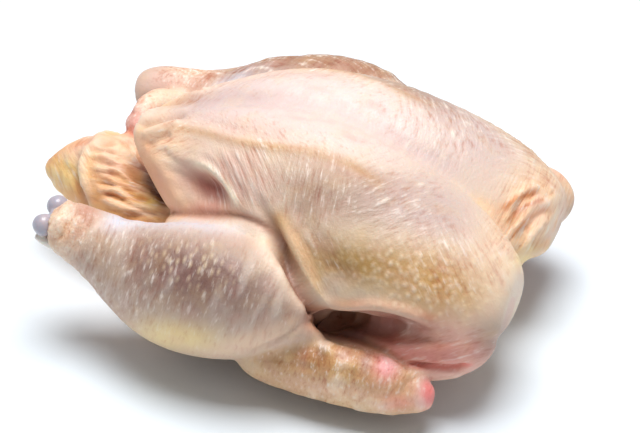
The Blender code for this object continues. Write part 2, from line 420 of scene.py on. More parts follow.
@dataclass(frozen=True)
class Sight:
    """The camera's place, and where points of the bird fall in its frame.

    Attributes:
        azimuth: Degrees round from -Y towards +X.
        elevation: Degrees above the horizon.
        distance: Metres from the target.
        target: The point at the middle of the frame.
        scale: Frame units to a metre at the target.
    """

    azimuth: float = 21.0
    elevation: float = 34.0
    distance: float = 1.0
    target: tuple[float, float, float] = (-0.0125, 0.0, 0.042)
    scale: float = 2400.0

    SENSOR = 36.0

    def backwards(self) -> Vector:
        """The direction from the target to the camera."""
        a, e = math.radians(self.azimuth), math.radians(self.elevation)
        return Vector((math.sin(a) * math.cos(e), -math.cos(a) * math.cos(e), math.sin(e)))

    def project(self, points: np.ndarray) -> tuple[np.ndarray, np.ndarray]:
        """Where points fall in the frame, (right, down), and their depth towards the camera in its units.

        A point's offset from the camera is split along the view's right, up and back, and the first
        two are divided by the third.
        """
        back = np.array(self.backwards())
        right = unit(np.cross(UP, back))
        up = np.cross(back, right)
        offset = points - np.array(self.target)
        reach = self.distance - offset @ back
        factor = self.scale * self.distance / reach
        rightward = FRAME_WIDTH / 2 + factor * (offset @ right)
        downward = FRAME_HEIGHT / 2 - factor * (offset @ up)
        return np.stack((rightward, downward), axis=1), self.scale * (offset @ back)

    def place_camera(self) -> bpy.types.Object:
        """Makes the scene's camera."""
        data = bpy.data.cameras.new("camera")
        data.sensor_width = self.SENSOR
        data.lens = self.SENSOR * self.distance * self.scale / FRAME_WIDTH
        camera = bpy.data.objects.new("camera", data)
        bpy.context.scene.collection.objects.link(camera)
        camera.location = Vector(self.target) + self.backwards() * self.distance
        camera.rotation_mode = "QUATERNION"
        camera.rotation_quaternion = (-self.backwards()).to_track_quat("-Z", "Y")
        bpy.context.scene.camera = camera
        return camera


# What lies on the skin


@dataclass
class Surface:
    """The skin's points while they are shaped and coloured.

    Attributes:
        points: Rows of x, y, z.
        normals: Unit vectors out of the skin.
        sight: The camera's plane.
        near: Where each point falls in the frame once it is mirrored to the left side.
        own: Where each point itself falls in the frame.
        depth: Depth of the mirrored point, in frame units.
        near_facing: From 0 to 1, how far the mirrored point looks towards the camera.
        own_facing: The same for the point itself.
        regions: The share that each region has in a point.
        tint: Linear colour of each point.
    """

    points: np.ndarray
    normals: np.ndarray
    sight: Sight
    near: np.ndarray = field(init=False)
    own: np.ndarray = field(init=False)
    depth: np.ndarray = field(init=False)
    near_facing: np.ndarray = field(init=False)
    own_facing: np.ndarray = field(init=False)
    regions: np.ndarray = field(init=False)
    tint: np.ndarray = field(init=False)

    TURNED_AWAY = -0.35
    TURN_SPAN = 0.45
    FAINT = 1e-9
    KEEL_BLEND = 1.5 * MM

    def __post_init__(self) -> None:
        """Works out where the points fall in the frame and which way they look."""
        flip = np.where(self.points[:, 1:2] > 0, (1, -1, 1), (1, 1, 1))
        self.near, self.depth = self.sight.project(self.points * flip)
        self.own, _ = self.sight.project(self.points)
        back = np.array(self.sight.backwards())
        self.near_facing = self.facing((self.normals * flip) @ back)
        self.own_facing = self.facing(self.normals @ back)
        self.regions = np.ones((len(self.points), len(Region)))
        self.tint = np.ones((len(self.points), 3))

    @staticmethod
    def facing(cosine: np.ndarray) -> np.ndarray:
        """0 where a surface looks away, 1 where it looks to the camera, by 3t^2-2t^3 between."""
        return ease(np.clip((cosine - Surface.TURNED_AWAY) / Surface.TURN_SPAN, 0, 1))

    def read_regions(self, forms: list[Form], softness: float) -> None:
        """Gives each point to the form whose surface it lies on, softly where two meet.

        A form's share is exp(-(distance/softness)^2), with a faint exp(-distance/softness) added so
        that points far from every form have a region too, and the shares of a point add up to 1.

        Args:
            forms: The body's forms.
            softness: Metres over which one region gives way to the next.
        """
        share = np.zeros((len(self.points), len(Region)))
        for form in forms:
            distance, _, _ = form.locate(self.points)
            close = np.exp(-((distance / softness) ** 2))
            close = close + self.FAINT * np.exp(-np.abs(distance) / softness)
            share[:, form.region.value] = np.maximum(share[:, form.region.value], close)
        self.regions = share / share.sum(axis=1, keepdims=True)

    def within(self, regions: tuple[Region, ...], side: Side) -> np.ndarray:
        """The share, from 0 to 1, that some regions on one side or both have in each point."""
        share = self.regions[:, [r.value for r in regions]].sum(axis=1)
        share = share * (self.near_facing if side in (Side.BOTH, Side.LEFT) else self.own_facing)
        if side in (Side.BOTH, Side.SEEN):
            return share
        return share / (1 + np.exp(-side.value * self.points[:, 1] / self.KEEL_BLEND))

    def plane(self, side: Side) -> np.ndarray:
        """Places in the frame: mirrored ones for both sides or the left, else a point's own."""
        return self.near if side in (Side.BOTH, Side.LEFT) else self.own

    def paint(self, cover: np.ndarray, colour: tuple[float, float, float]) -> None:
        """Lays a colour over the tint where cover is above 0."""
        self.tint += cover[:, None] * (np.array(colour) - self.tint)


@dataclass(frozen=True)
class Fold:
    """A raised or sunken line on the skin: height * exp(-(distance/width)^2).

    Towards each end it is thinned by 3t^2-2t^3, t being the share of the taper that is passed.

    Attributes:
        line: Places in the frame that it runs through.
        width: Half width, in millimetres.
        height: Millimetres out of the skin, below 0 for a crease.
        regions: Where it is allowed.
        side: LEFT and BOTH are read on the bird with its right half mirrored onto its left, RIGHT on
            its right half as the camera sees it, and SEEN on all of it as the camera sees it.
        lean: How much steeper the side to the line's right is than its left.
        taper: The share of the line over which it grows at its start, and fades at its end.
    """

    line: tuple[tuple[float, float], ...]
    width: float
    height: float
    regions: tuple[Region, ...] = ANYWHERE
    side: Side = Side.BOTH
    lean: float = 0.0
    taper: tuple[float, float] = TAPER

    UNITS_PER_MM = 2.4

    def strength(self, surface: Surface) -> np.ndarray:
        """How far each point is under the fold, from 0 to 1."""
        distance, share, way = distance_to_line(surface.plane(self.side), smooth_line(self.line))
        width = self.width * self.UNITS_PER_MM * (1 + self.lean * way)
        ends = ease(np.clip(np.minimum(share / self.taper[0], (1 - share) / self.taper[1]), 0, 1))
        return np.exp(-((distance / width) ** 2)) * ends * surface.within(self.regions, self.side)


@dataclass(frozen=True)
class Patch:
    """A soft-edged oval in the frame, of a colour or of a mask.

    Its strength is exp(-r^(2*edge)), r being the distance from the centre in radii.

    Attributes:
        centre: Its middle in the frame.
        radii: Its half length and half width.
        turn: Degrees that its length is turned clockwise from the right.
        tint: Linear colour.
        strength: Its cover at the middle, from 0 to 1.
        regions: Where it is allowed.
        side: As for a fold.
        edge: Higher for a crisper rim.
    """

    centre: tuple[float, float]
    radii: tuple[float, float]
    turn: float
    tint: tuple[float, float, float]
    strength: float = 1.0
    regions: tuple[Region, ...] = ANYWHERE
    side: Side = Side.BOTH
    edge: float = 1.2

    def cover(self, surface: Surface) -> np.ndarray:
        """How much it covers each point, from 0 to 1."""
        a = math.radians(self.turn)
        offset = surface.plane(self.side) - np.array(self.centre)
        along = offset @ np.array((math.cos(a), math.sin(a))) / self.radii[0]
        across = offset @ np.array((-math.sin(a), math.cos(a))) / self.radii[1]
        reach = np.power(along**2 + across**2, self.edge)
        return self.strength * np.exp(-reach) * surface.within(self.regions, self.side)


def tone(red: int, green: int, blue: int) -> tuple[float, float, float]:
    """A linear colour from display values of 0 to 255."""

    def linear(value: int) -> float:
        """The display curve undone for one channel."""
        v = value / 255
        return v / 12.92 if v <= 0.04045 else ((v + 0.055) / 1.055) ** 2.4

    return linear(red), linear(green), linear(blue)


# The body's forms


def rings_of(stations: tuple[tuple[float, ...], ...], side: Side) -> np.ndarray:
    """Ring rows for one side from stations of x, distance from the keel, z, half width, half height."""
    table = np.array(stations)
    return np.column_stack(
        (table[:, 0], side.value * table[:, 1], table[:, 2], table[:, 3], table[:, 4], table[:, 4])
    )


def shifted(rings: np.ndarray, first: tuple[float, ...], last: tuple[float, ...]) -> np.ndarray:
    """Rings moved by one shift at the first ring, another at the last, and their blend between."""
    share = np.linspace(0, 1, len(rings))[:, None]
    moved = rings.copy()
    moved[:, :3] += (1 - share) * np.array(first) + share * np.array(last)
    return moved


@dataclass
class Anatomy:
    """The bird's forms, as rings along each part.

    Attributes:
        core: x, half width, height of the widest line, top and bottom of the carcass.
        lobe: x, distance from the keel, half width, height, rise and drop of one breast half.
        thigh, drumstick, upper_wing, forewing, tail, neck_skin, vent_flesh, cavity: x, distance from
            the keel, z, half width and half height.
        knee_shift, hock_shift, shoulder_shift: How the right side lies off the left one's mirror image.
    """

    core: tuple = (
        (-0.082, 0.014, 0.034, 0.046, 0.022),
        (-0.072, 0.025, 0.030, 0.056, 0.006),
        (-0.050, 0.042, 0.028, 0.070, -0.006),
        (-0.015, 0.048, 0.026, 0.074, -0.008),
        (0.016, 0.050, 0.026, 0.070, -0.007),
        (0.038, 0.047, 0.028, 0.062, 0.000),
        (0.056, 0.040, 0.032, 0.052, 0.013),
        (0.068, 0.028, 0.036, 0.046, 0.023),
    )
    lobe: tuple = (
        (-0.094, 0.003, 0.005, 0.068, 0.005, 0.005),
        (-0.086, 0.005, 0.012, 0.065, 0.012, 0.009),
        (-0.073, 0.008, 0.022, 0.060, 0.024, 0.014),
        (-0.058, 0.011, 0.031, 0.056, 0.034, 0.020),
        (-0.034, 0.015, 0.040, 0.053, 0.046, 0.024),
        (-0.002, 0.019, 0.046, 0.050, 0.049, 0.018),
        (0.024, 0.022, 0.046, 0.048, 0.042, 0.013),
        (0.048, 0.025, 0.041, 0.046, 0.034, 0.013),
        (0.067, 0.028, 0.033, 0.043, 0.026, 0.013),
        (0.081, 0.030, 0.020, 0.041, 0.014, 0.010),
    )
    thigh: tuple = (
        (-0.064, 0.026, 0.036, 0.012, 0.016),
        (-0.055, 0.031, 0.037, 0.022, 0.027),
        (-0.040, 0.036, 0.039, 0.027, 0.031),
        (-0.016, 0.039, 0.040, 0.023, 0.028),
        (0.002, 0.044, 0.038, 0.017, 0.020),
        (0.012, 0.048, 0.037, 0.009, 0.011),
    )
    drumstick: tuple = (
        (-0.1070, 0.0555, 0.0495, 0.0108, 0.0100),
        (-0.102, 0.0555, 0.0500, 0.0118, 0.0120),
        (-0.096, 0.0560, 0.0485, 0.0120, 0.0135),
        (-0.084, 0.0565, 0.0445, 0.0145, 0.0160),
        (-0.071, 0.0580, 0.0390, 0.0200, 0.0215),
        (-0.056, 0.0605, 0.0375, 0.0250, 0.0280),
        (-0.040, 0.0620, 0.0385, 0.0270, 0.0290),
        (-0.022, 0.0640, 0.0420, 0.0260, 0.0280),
        (-0.006, 0.0650, 0.0430, 0.0210, 0.0230),
        (0.006, 0.0660, 0.0400, 0.0140, 0.0155),
        (0.015, 0.0660, 0.0380, 0.0070, 0.0080),
    )
    upper_wing: tuple = (
        (0.071, 0.042, 0.037, 0.011, 0.012),
        (0.067, 0.046, 0.031, 0.016, 0.016),
        (0.042, 0.050, 0.025, 0.016, 0.016),
        (0.010, 0.056, 0.020, 0.012, 0.013),
        (-0.012, 0.062, 0.017, 0.010, 0.011),
        (-0.020, 0.064, 0.017, 0.006, 0.007),
    )
    forewing: tuple = (
        (-0.020, 0.067, 0.018, 0.006, 0.007),
        (-0.012, 0.070, 0.019, 0.009, 0.012),
        (0.006, 0.0720, 0.0215, 0.0095, 0.0140),
        (0.027, 0.0725, 0.0210, 0.0095, 0.0145),
        (0.045, 0.0705, 0.0185, 0.0095, 0.0120),
        (0.055, 0.0680, 0.0165, 0.0075, 0.0085),
        (0.061, 0.0665, 0.0155, 0.0040, 0.0050),
    )
    tail: tuple = (
        (-0.050, 0.000, 0.014, 0.026, 0.014),
        (-0.074, 0.000, 0.025, 0.034, 0.024),
        (-0.094, -0.002, 0.031, 0.028, 0.023),
        (-0.109, -0.003, 0.036, 0.022, 0.0225),
        (-0.122, -0.002, 0.038, 0.016, 0.0175),
        (-0.133, -0.001, 0.037, 0.010, 0.0105),
        (-0.140, -0.001, 0.037, 0.003, 0.003),
    )
    neck_skin: tuple = (
        (0.046, 0.006, 0.050, 0.034, 0.018),
        (0.057, 0.009, 0.047, 0.031, 0.016),
        (0.063, 0.009, 0.040, 0.023, 0.013),
        (0.062, 0.006, 0.031, 0.013, 0.008),
    )
    vent_flesh: tuple = (
        (-0.098, 0.050, 0.044, 0.008, 0.009),
        (-0.103, 0.041, 0.051, 0.008, 0.012),
        (-0.105, 0.031, 0.053, 0.008, 0.012),
        (-0.105, 0.023, 0.050, 0.007, 0.011),
        (-0.101, 0.017, 0.044, 0.007, 0.010),
    )
    cavity: tuple = (
        (-0.112, 0.000, 0.066, 0.010, 0.005),
        (-0.102, 0.000, 0.061, 0.014, 0.007),
        (-0.090, 0.000, 0.056, 0.017, 0.010),
        (-0.075, 0.000, 0.051, 0.019, 0.013),
        (-0.052, 0.000, 0.046, 0.023, 0.017),
        (-0.022, 0.000, 0.043, 0.026, 0.021),
        (0.010, 0.000, 0.041, 0.021, 0.018),
        (0.026, 0.000, 0.040, 0.009, 0.008),
    )
    knee_shift: tuple = (-0.006, 0.006, 0.012)
    hock_shift: tuple = (-0.014, 0.006, -0.0055)
    shoulder_shift: tuple = (0.004, 0.006, 0.009)

    def side_forms(self, side: Side) -> list[Form]:
        """The breast half, leg and wing of one side."""
        right = side is Side.RIGHT
        knee = self.knee_shift if right else STILL
        hock = self.hock_shift if right else STILL
        shoulder = self.shoulder_shift if right else STILL
        lobe = np.array(self.lobe)[:, (0, 1, 3, 2, 4, 5)] * (1, side.value, 1, 1, 1, 1)
        return [
            Form(Region.BREAST, lobe, upright=True, across=110),
            Form(Region.THIGH, shifted(rings_of(self.thigh, side), STILL, knee)),
            Form(Region.LEG, shifted(rings_of(self.drumstick, side), hock, knee)),
            Form(Region.UPPER_WING, shifted(rings_of(self.upper_wing, side), shoulder, STILL)),
            Form(Region.WING, rings_of(self.forewing, side)),
        ]

    def forms(self) -> list[Form]:
        """Every form of the body."""
        x, width, middle, top, bottom = np.array(self.core).T
        core = np.column_stack((x, 0 * x, middle, width, top - middle, middle - bottom))
        return [
            Form(Region.CORE, core, upright=True, across=110),
            *self.side_forms(Side.LEFT),
            *self.side_forms(Side.RIGHT),
            Form(Region.TAIL, rings_of(self.tail, Side.LEFT)),
            Form(Region.NECK, rings_of(self.neck_skin, Side.RIGHT)),
            Form(Region.VENT, rings_of(self.vent_flesh, Side.RIGHT)),
        ]

    def hollow(self) -> Form:
        """The body cavity."""
        return Form(Region.CORE, rings_of(self.cavity, Side.LEFT))


# Folds of the skin

FOLDS: tuple[Fold, ...] = (
    # Keel and the two sides of the breast
    Fold(((145, 117), (166, 112), (208, 98), (264, 97), (330, 105), (378, 127), (420, 151), (470, 175)),
         3.0, -0.8, BODY, Side.SEEN),
    Fold(((150, 138), (166, 128), (200, 128), (240, 141), (280, 148), (320, 152), (365, 168)), 2.4, 0.8,
         TRUNK),
    Fold(((150, 130), (168, 121), (202, 119), (242, 130), (282, 137), (322, 142)), 3.0, -0.7, TRUNK),
    # Rear tip of the breast
    Fold(((133, 113), (150, 109), (175, 106), (205, 99)), 1.6, -1.1, TRUNK),
    Fold(((135, 119), (150, 116), (172, 110), (190, 106)), 1.6, 1.5, TRUNK),
    Fold(((136, 127), (150, 123), (168, 117), (188, 112)), 1.4, -1.7, TRUNK),
    Fold(((139, 137), (152, 131), (168, 124), (184, 120)), 1.5, 1.4, TRUNK),
    Fold(((145, 147), (156, 140), (172, 133)), 1.4, -1.4, TRUNK),
    # Flank: the rim of the hollow and the strands that run down to the thigh
    Fold(((172, 164), (188, 163), (205, 167), (220, 180), (231, 196), (239, 213)), 1.9, 1.8, TRUNK,
         taper=(0.45, 0.2)),
    Fold(((164, 152), (180, 158), (198, 160), (214, 170), (228, 186)), 1.3, 0.5, TRUNK),
    Fold(((162, 172), (176, 184), (190, 200), (204, 210)), 1.2, 0.6, TRUNK),
    Fold(((170, 168), (184, 180), (200, 196)), 1.0, -0.5, TRUNK),
    Fold(((150, 150), (160, 168), (172, 190), (184, 206)), 2.0, 0.9, TRUNK),
    Fold(((160, 148), (172, 160), (186, 170)), 1.4, -0.7, TRUNK),
    Fold(((203, 148), (220, 166), (234, 190), (248, 217)), 1.0, 0.4, TRUNK),
    Fold(((216, 145), (232, 164), (245, 187), (258, 210)), 1.0, 0.4, TRUNK),
    Fold(((230, 146), (244, 163), (255, 184), (266, 206)), 1.0, 0.35, TRUNK),
    Fold(((246, 149), (256, 166), (262, 186), (270, 204)), 1.0, 0.35, TRUNK),
    # The crease beside the leg and the roll of skin behind it
    Fold(((246, 178), (253, 192), (262, 208), (271, 226), (281, 247), (290, 265), (298, 281), (307, 296),
          (322, 316)),
         2.7, -4.8, TRUNK_AND_LEG, taper=(0.6, 0.03)),
    Fold(((263, 196), (275, 212), (290, 240), (304, 270), (317, 293), (332, 304), (352, 307), (376, 305),
          (402, 311), (428, 320), (448, 324)),
         2.8, 2.2, TRUNK_AND_LEG, lean=0.25, taper=(0.32, 0.2)),
    Fold(((288, 200), (312, 236), (334, 268), (356, 290)), 5.0, -1.2, TRUNK),
    Fold(((112, 220), (150, 213), (180, 213), (210, 215), (240, 217), (262, 227), (278, 250)), 1.5, -1.7,
         (*TRUNK, Region.LEG, Region.TAIL)),
    Fold(((200, 223), (240, 227), (260, 238), (277, 266), (293, 296)), 2.6, 1.2, LEG),
    # Lower edge of the breast and the pocket under it
    Fold(((310, 304), (326, 316), (363, 316), (390, 319), (420, 328), (441, 332)), 2.4, -3.0,
         taper=(0.06, 0.3)),
    # Shoulder
    Fold(((403, 362), (430, 366), (456, 367), (472, 364)), 1.1, -2.6),
    Fold(((406, 372), (432, 375), (464, 372)), 1.8, 1.0),
    Fold(((392, 330), (430, 343), (474, 343)), 5.0, 1.2),
    # Wing
    Fold(((272, 350), (300, 334), (341, 334), (366, 345), (396, 361), (418, 378)), 2.0, 0.9, WING),
    Fold(((306, 326), (335, 330), (364, 341), (395, 358), (415, 374)), 1.5, -1.8),
    Fold(((345, 346), (359, 362), (352, 384), (364, 398)), 1.2, -0.7, WING),
    Fold(((413, 376), (404, 388), (402, 401)), 1.2, -0.8, WING),
    Fold(((262, 354), (284, 362), (322, 372)), 1.8, -0.7, WING),
    # Knee
    Fold(((305, 324), (285, 336), (262, 347), (247, 355)), 0.9, -1.0, LEG),
    Fold(((302, 331), (284, 342), (262, 352)), 1.2, 0.5, LEG),
)

CUFF_FOLDS: tuple[Fold, ...] = tuple(
    Fold(line, 1.15, height, LEG, Side.LEFT)
    for line, height in (
        (((72, 196), (62, 213), (48, 236)), 1.2),
        (((77, 200), (69, 219), (56, 242)), -1.2),
        (((84, 205), (76, 225), (64, 247)), 1.0),
        (((91, 210), (84, 230), (74, 252)), -1.0),
        (((99, 216), (92, 235), (84, 258)), 0.7),
    )
)

TAIL_FOLDS: tuple[Fold, ...] = (
    Fold(((113, 138), (95, 144), (83, 158), (84, 180), (96, 214)), 1.6, 1.6, TAIL),
    Fold(((86, 148), (76, 162), (78, 186), (90, 212)), 1.5, -1.6, TAIL),
    Fold(((62, 150), (66, 168), (80, 192)), 1.4, -0.7, TAIL),
    *(
        Fold(
            ((88 + 0.16 * drop, 146 + drop), (104, 148 + drop + sway), (118, 152 + drop - sway),
             (134, 161 + drop + sway), (154 + 0.2 * drop, 172 + drop)),
            1.1, height, TAIL_AND_CORE,
        )
        for drop, sway, height in (
            (0, 2, 1.4), (5, -1, -1.0), (10, -2, 1.2), (15, 1, -1.0), (20, 3, 1.2), (25, 0, -1.0),
            (30, -2, 1.2), (35, 2, -1.0), (41, 2, 1.2), (46, -1, -1.0), (52, -2, 1.2),
        )
    ),
)

NECK_FOLDS: tuple[Fold, ...] = tuple(
    Fold(line, 1.2, height, (Region.NECK, Region.BREAST, Region.UPPER_WING), Side.SEEN)
    for line, height in (
        (((541, 186), (524, 191), (508, 206)), 0.9),
        (((546, 193), (526, 199), (509, 218)), -0.9),
        (((551, 201), (531, 208), (512, 231)), 0.9),
        (((553, 209), (536, 217), (515, 243)), -0.9),
        (((552, 218), (540, 227), (520, 252)), 0.9),
    )
)

EVERY_FOLD = (*FOLDS, *CUFF_FOLDS, *TAIL_FOLDS, *NECK_FOLDS)


@dataclass(frozen=True)
class Bowl:
    """A hollow or swelling with an oval outline: height * exp(-r^(2*edge))."""

    patch: Patch
    height: float


def bowl(centre: tuple[float, float], radii: tuple[float, float], turn: float, height: float,
         regions: tuple[Region, ...] = TRUNK, side: Side = Side.BOTH) -> Bowl:
    """A bowl from its place in the frame and its height in millimetres."""
    return Bowl(Patch(centre, radii, turn, NO_TINT, 1.0, regions, side), height)


BOWLS: tuple[Bowl, ...] = (
    bowl((201, 188), (33, 18), 30, -4.8),
    bowl((202, 180), (17, 8), 30, -1.6),
    bowl((352, 326), (58, 13), 6, -2.2, ANYWHERE),
    bowl((322, 322), (16, 9), -20, -3.2, ANYWHERE),
    bowl((404, 334), (34, 9), 9, -2.6, ANYWHERE),
    bowl((430, 348), (38, 16), 5, 1.5, ANYWHERE),
)


def directions(way: tuple[float, float]) -> tuple[np.ndarray, np.ndarray]:
    """Unit vectors along a direction of the frame and square to it."""
    along = np.array(way) / math.hypot(*way)
    return along, np.array((along[1], -along[0]))


@dataclass(frozen=True)
class Wrinkles:
    """Many small folds side by side: smooth noise drawn out along one direction of the frame.

    Attributes:
        way: Direction along the folds, right and down in the frame.
        spacing: Millimetres from fold to fold.
        length: Millimetres that a fold runs.
        height: Millimetres from crease to crest.
        cover: Where they are.
        crease: 0 for even waves, 1 for full rolls with sharp creases between them.
        seed: Which pattern.
    """

    way: tuple[float, float]
    spacing: float
    length: float
    height: float
    cover: Patch
    crease: float = 0.0
    seed: int = 1

    SHARPNESS = 0.28
    SWAY = 1.6
    SWAY_LENGTH = 9
    SWAY_SEED = 50

    def rise(self, surface: Surface) -> np.ndarray:
        """Millimetres that they lift each point.

        Noise n, swayed sideways by slower noise, makes even waves; 1 - 2 exp(-(n/sharpness)^2) makes
        rolls of it, and the crease says how much of each there is.
        """
        plane = surface.plane(self.cover.side) / Fold.UNITS_PER_MM
        along, across = directions(self.way)
        depth = surface.depth / Fold.UNITS_PER_MM
        slow = np.column_stack((plane / self.SWAY_LENGTH, depth / self.SWAY_LENGTH))
        sway = clouds(slow, self.seed + self.SWAY_SEED)
        cross = (plane @ across + self.SWAY * sway) / self.spacing
        n = clouds(np.column_stack((cross, plane @ along / self.length, depth / self.length)), self.seed)
        rolls = 1 - 2 * np.exp(-((n / self.SHARPNESS) ** 2))
        wave = (1 - self.crease) * n + self.crease * rolls
        return 0.5 * self.height * wave * self.cover.cover(surface)


@dataclass(frozen=True)
class Bumps:
    """Separate small bumps where feathers were: exp(-r^2) mounds at chance places in a slanted grid.

    Attributes:
        way: Direction that the bumps are drawn out along.
        spacing: Millimetres between them, across and along that direction.
        size: Radius of a bump in spacings.
        height: Millimetres.
        cover: Where they are.
        seed: Which pattern.
    """

    way: tuple[float, float]
    spacing: tuple[float, float]
    size: float
    height: float
    cover: Patch
    seed: int = 1

    def rise(self, surface: Surface) -> np.ndarray:
        """Millimetres that they lift each point; every other row lies half a spacing further along."""
        plane = surface.plane(self.cover.side) / Fold.UNITS_PER_MM
        along, across = directions(self.way)
        grid = np.column_stack((plane @ across / self.spacing[0], plane @ along / self.spacing[1]))
        grid[:, 1] += 0.5 * (np.floor(grid[:, 0]) % 2)
        return self.height * spots(grid, self.size, self.seed) * self.cover.cover(surface)


AREA_EDGE = 1.6


def area(centre: tuple[float, float], radii: tuple[float, float], turn: float,
         regions: tuple[Region, ...] = ANYWHERE, side: Side = Side.BOTH, strength: float = 1.0) -> Patch:
    """A patch that only says where a thing is."""
    return Patch(centre, radii, turn, NO_TINT, strength, regions, side, AREA_EDGE)


LEG_AREA = area((205, 285), (130, 62), 15, LEG)
WRINKLES: tuple[Wrinkles, ...] = (
    # Drumstick
    Wrinkles((-0.22, 1.0), 5.0, 14.0, 0.5, LEG_AREA, 0.3, seed=3),
    Wrinkles((-0.34, 1.0), 3.0, 9.0, 0.6, LEG_AREA, 0.2, seed=4),
    Wrinkles((-0.45, 1.0), 3.0, 12.0, 1.0, area((116, 272), (60, 46), 30, LEG), 0.2, seed=5),
    Wrinkles((-0.5, 1.0), 2.1, 4.5, 1.5, area((62, 226), (26, 30), 20, LEG, Side.LEFT), 0.4, seed=50),
    Wrinkles((0.8, 1.0), 2.4, 3.4, 0.9, area((62, 226), (26, 30), 20, LEG, Side.LEFT), seed=51),
    Wrinkles((-0.35, 1.0), 3.0, 14.0, 0.6, area((270, 290), (44, 56), 40, LEG), seed=6),
    # Tail
    Wrinkles((1.0, 0.26), 2.5, 17.0, 1.5, area((140, 186), (48, 46), 30, TAIL_AND_CORE), 0.8, seed=9),
    Wrinkles((0.45, 1.0), 3.2, 9.0, 1.3, area((66, 170), (32, 38), 60, TAIL), 0.4, seed=10),
    Wrinkles((1.0, 0.4), 2.2, 6.0, 0.8, area((120, 180), (70, 50), 30, TAIL), 0.3, seed=11),
    # Flank and the side of the breast
    Wrinkles((0.42, 1.0), 2.6, 16.0, 0.65, area((240, 180), (34, 40), 60, TRUNK), seed=14),
    Wrinkles((-0.25, 1.0), 3.2, 16.0, 0.5, area((305, 190), (52, 42), 0, TRUNK), seed=15),
    Wrinkles((-1.0, 0.55), 3.0, 10.0, 0.35, area((385, 205), (60, 40), 10, TRUNK), seed=16),
    Wrinkles((0.5, 1.0), 3.6, 26.0, 0.8, area((462, 270), (46, 62), 70, TRUNK), seed=17),
    Wrinkles((1.0, 0.2), 3.0, 12.0, 0.4, area((340, 128), (150, 26), 12, TRUNK), seed=18),
    Wrinkles((0.8, 1.0), 2.2, 5.0, 0.45, area((300, 142), (90, 15), 8, TRUNK), seed=19),
    Wrinkles((0.45, 1.0), 3.2, 11.0, 1.1, area((310, 256), (48, 40), 60, TRUNK), 0.3, seed=20),
    Wrinkles((0.9, 0.3), 3.0, 14.0, 0.6, area((180, 140), (46, 36), 20, TRUNK), seed=21),
    # Shoulder and pocket
    Wrinkles((1.0, -0.25), 3.2, 16.0, 0.8, area((440, 350), (62, 26), 0, ANYWHERE), seed=24),
    # Wing
    Wrinkles((-0.10, 1.0), 5.0, 9.0, 1.5, area((340, 368), (112, 46), 12, WING), 0.3, seed=27),
    Wrinkles((1.0, 0.3), 5.5, 9.0, 1.2, area((340, 368), (112, 46), 12, WING), 0.2, seed=28),
    # Neck skin
    Wrinkles((-0.8, 1.0), 2.6, 18.0, 1.3, area((528, 224), (42, 30), 120, NECK_AND_BREAST, Side.SEEN), 0.5,
             seed=31),
    Wrinkles((-0.6, 1.0), 2.4, 12.0, 0.5, area((555, 190), (30, 40), 60, (Region.UPPER_WING,), Side.SEEN),
             seed=32),
    # Flesh at the vent
    Wrinkles((0.3, 1.0), 3.6, 7.0, 2.2, area((136, 126), (26, 40), 0, VENT, Side.SEEN), 0.4, seed=41),
    # Far leg
    Wrinkles((1.0, -0.15), 3.0, 22.0, 0.6, area((300, 65), (130, 26), 5, LEG, Side.RIGHT), seed=35),
    Wrinkles((1.0, -0.6), 3.0, 12.0, 0.6, area((165, 84), (36, 18), 0, LEG, Side.RIGHT), 0.2, seed=36),
)

BUMPS: tuple[Bumps, ...] = (
    Bumps((0.15, 1.0), (4.2, 4.2), 0.30, 0.42, area((425, 278), (72, 42), 12, TRUNK), 8),
    Bumps((0.4, 1.0), (3.4, 5.2), 0.26, 0.28, area((350, 262), (60, 34), 12, TRUNK), 9),
    Bumps((0.4, 1.0), (5.0, 5.0), 0.24, 0.22, area((360, 120), (170, 34), 12, TRUNK), 10),
)


@dataclass(frozen=True)
class Grain:
    """Lines or dots too fine for the mesh, drawn by the skin's material.

    Attributes:
        name: Of its mask on the mesh.
        way: Direction along its lines, right and down in the frame.
        across: Lines or dots to a millimetre across that direction.
        along: Lines or dots to a millimetre along it.
        areas: Where it is.
        dots: True for dots.
    """

    name: str
    way: tuple[float, float]
    across: float
    along: float
    areas: tuple[Patch, ...]
    dots: bool = False

    def share(self, surface: Surface) -> np.ndarray:
        """How strong it is at each point, from 0 to 1."""
        return np.clip(sum(patch.cover(surface) for patch in self.areas), 0, 1)


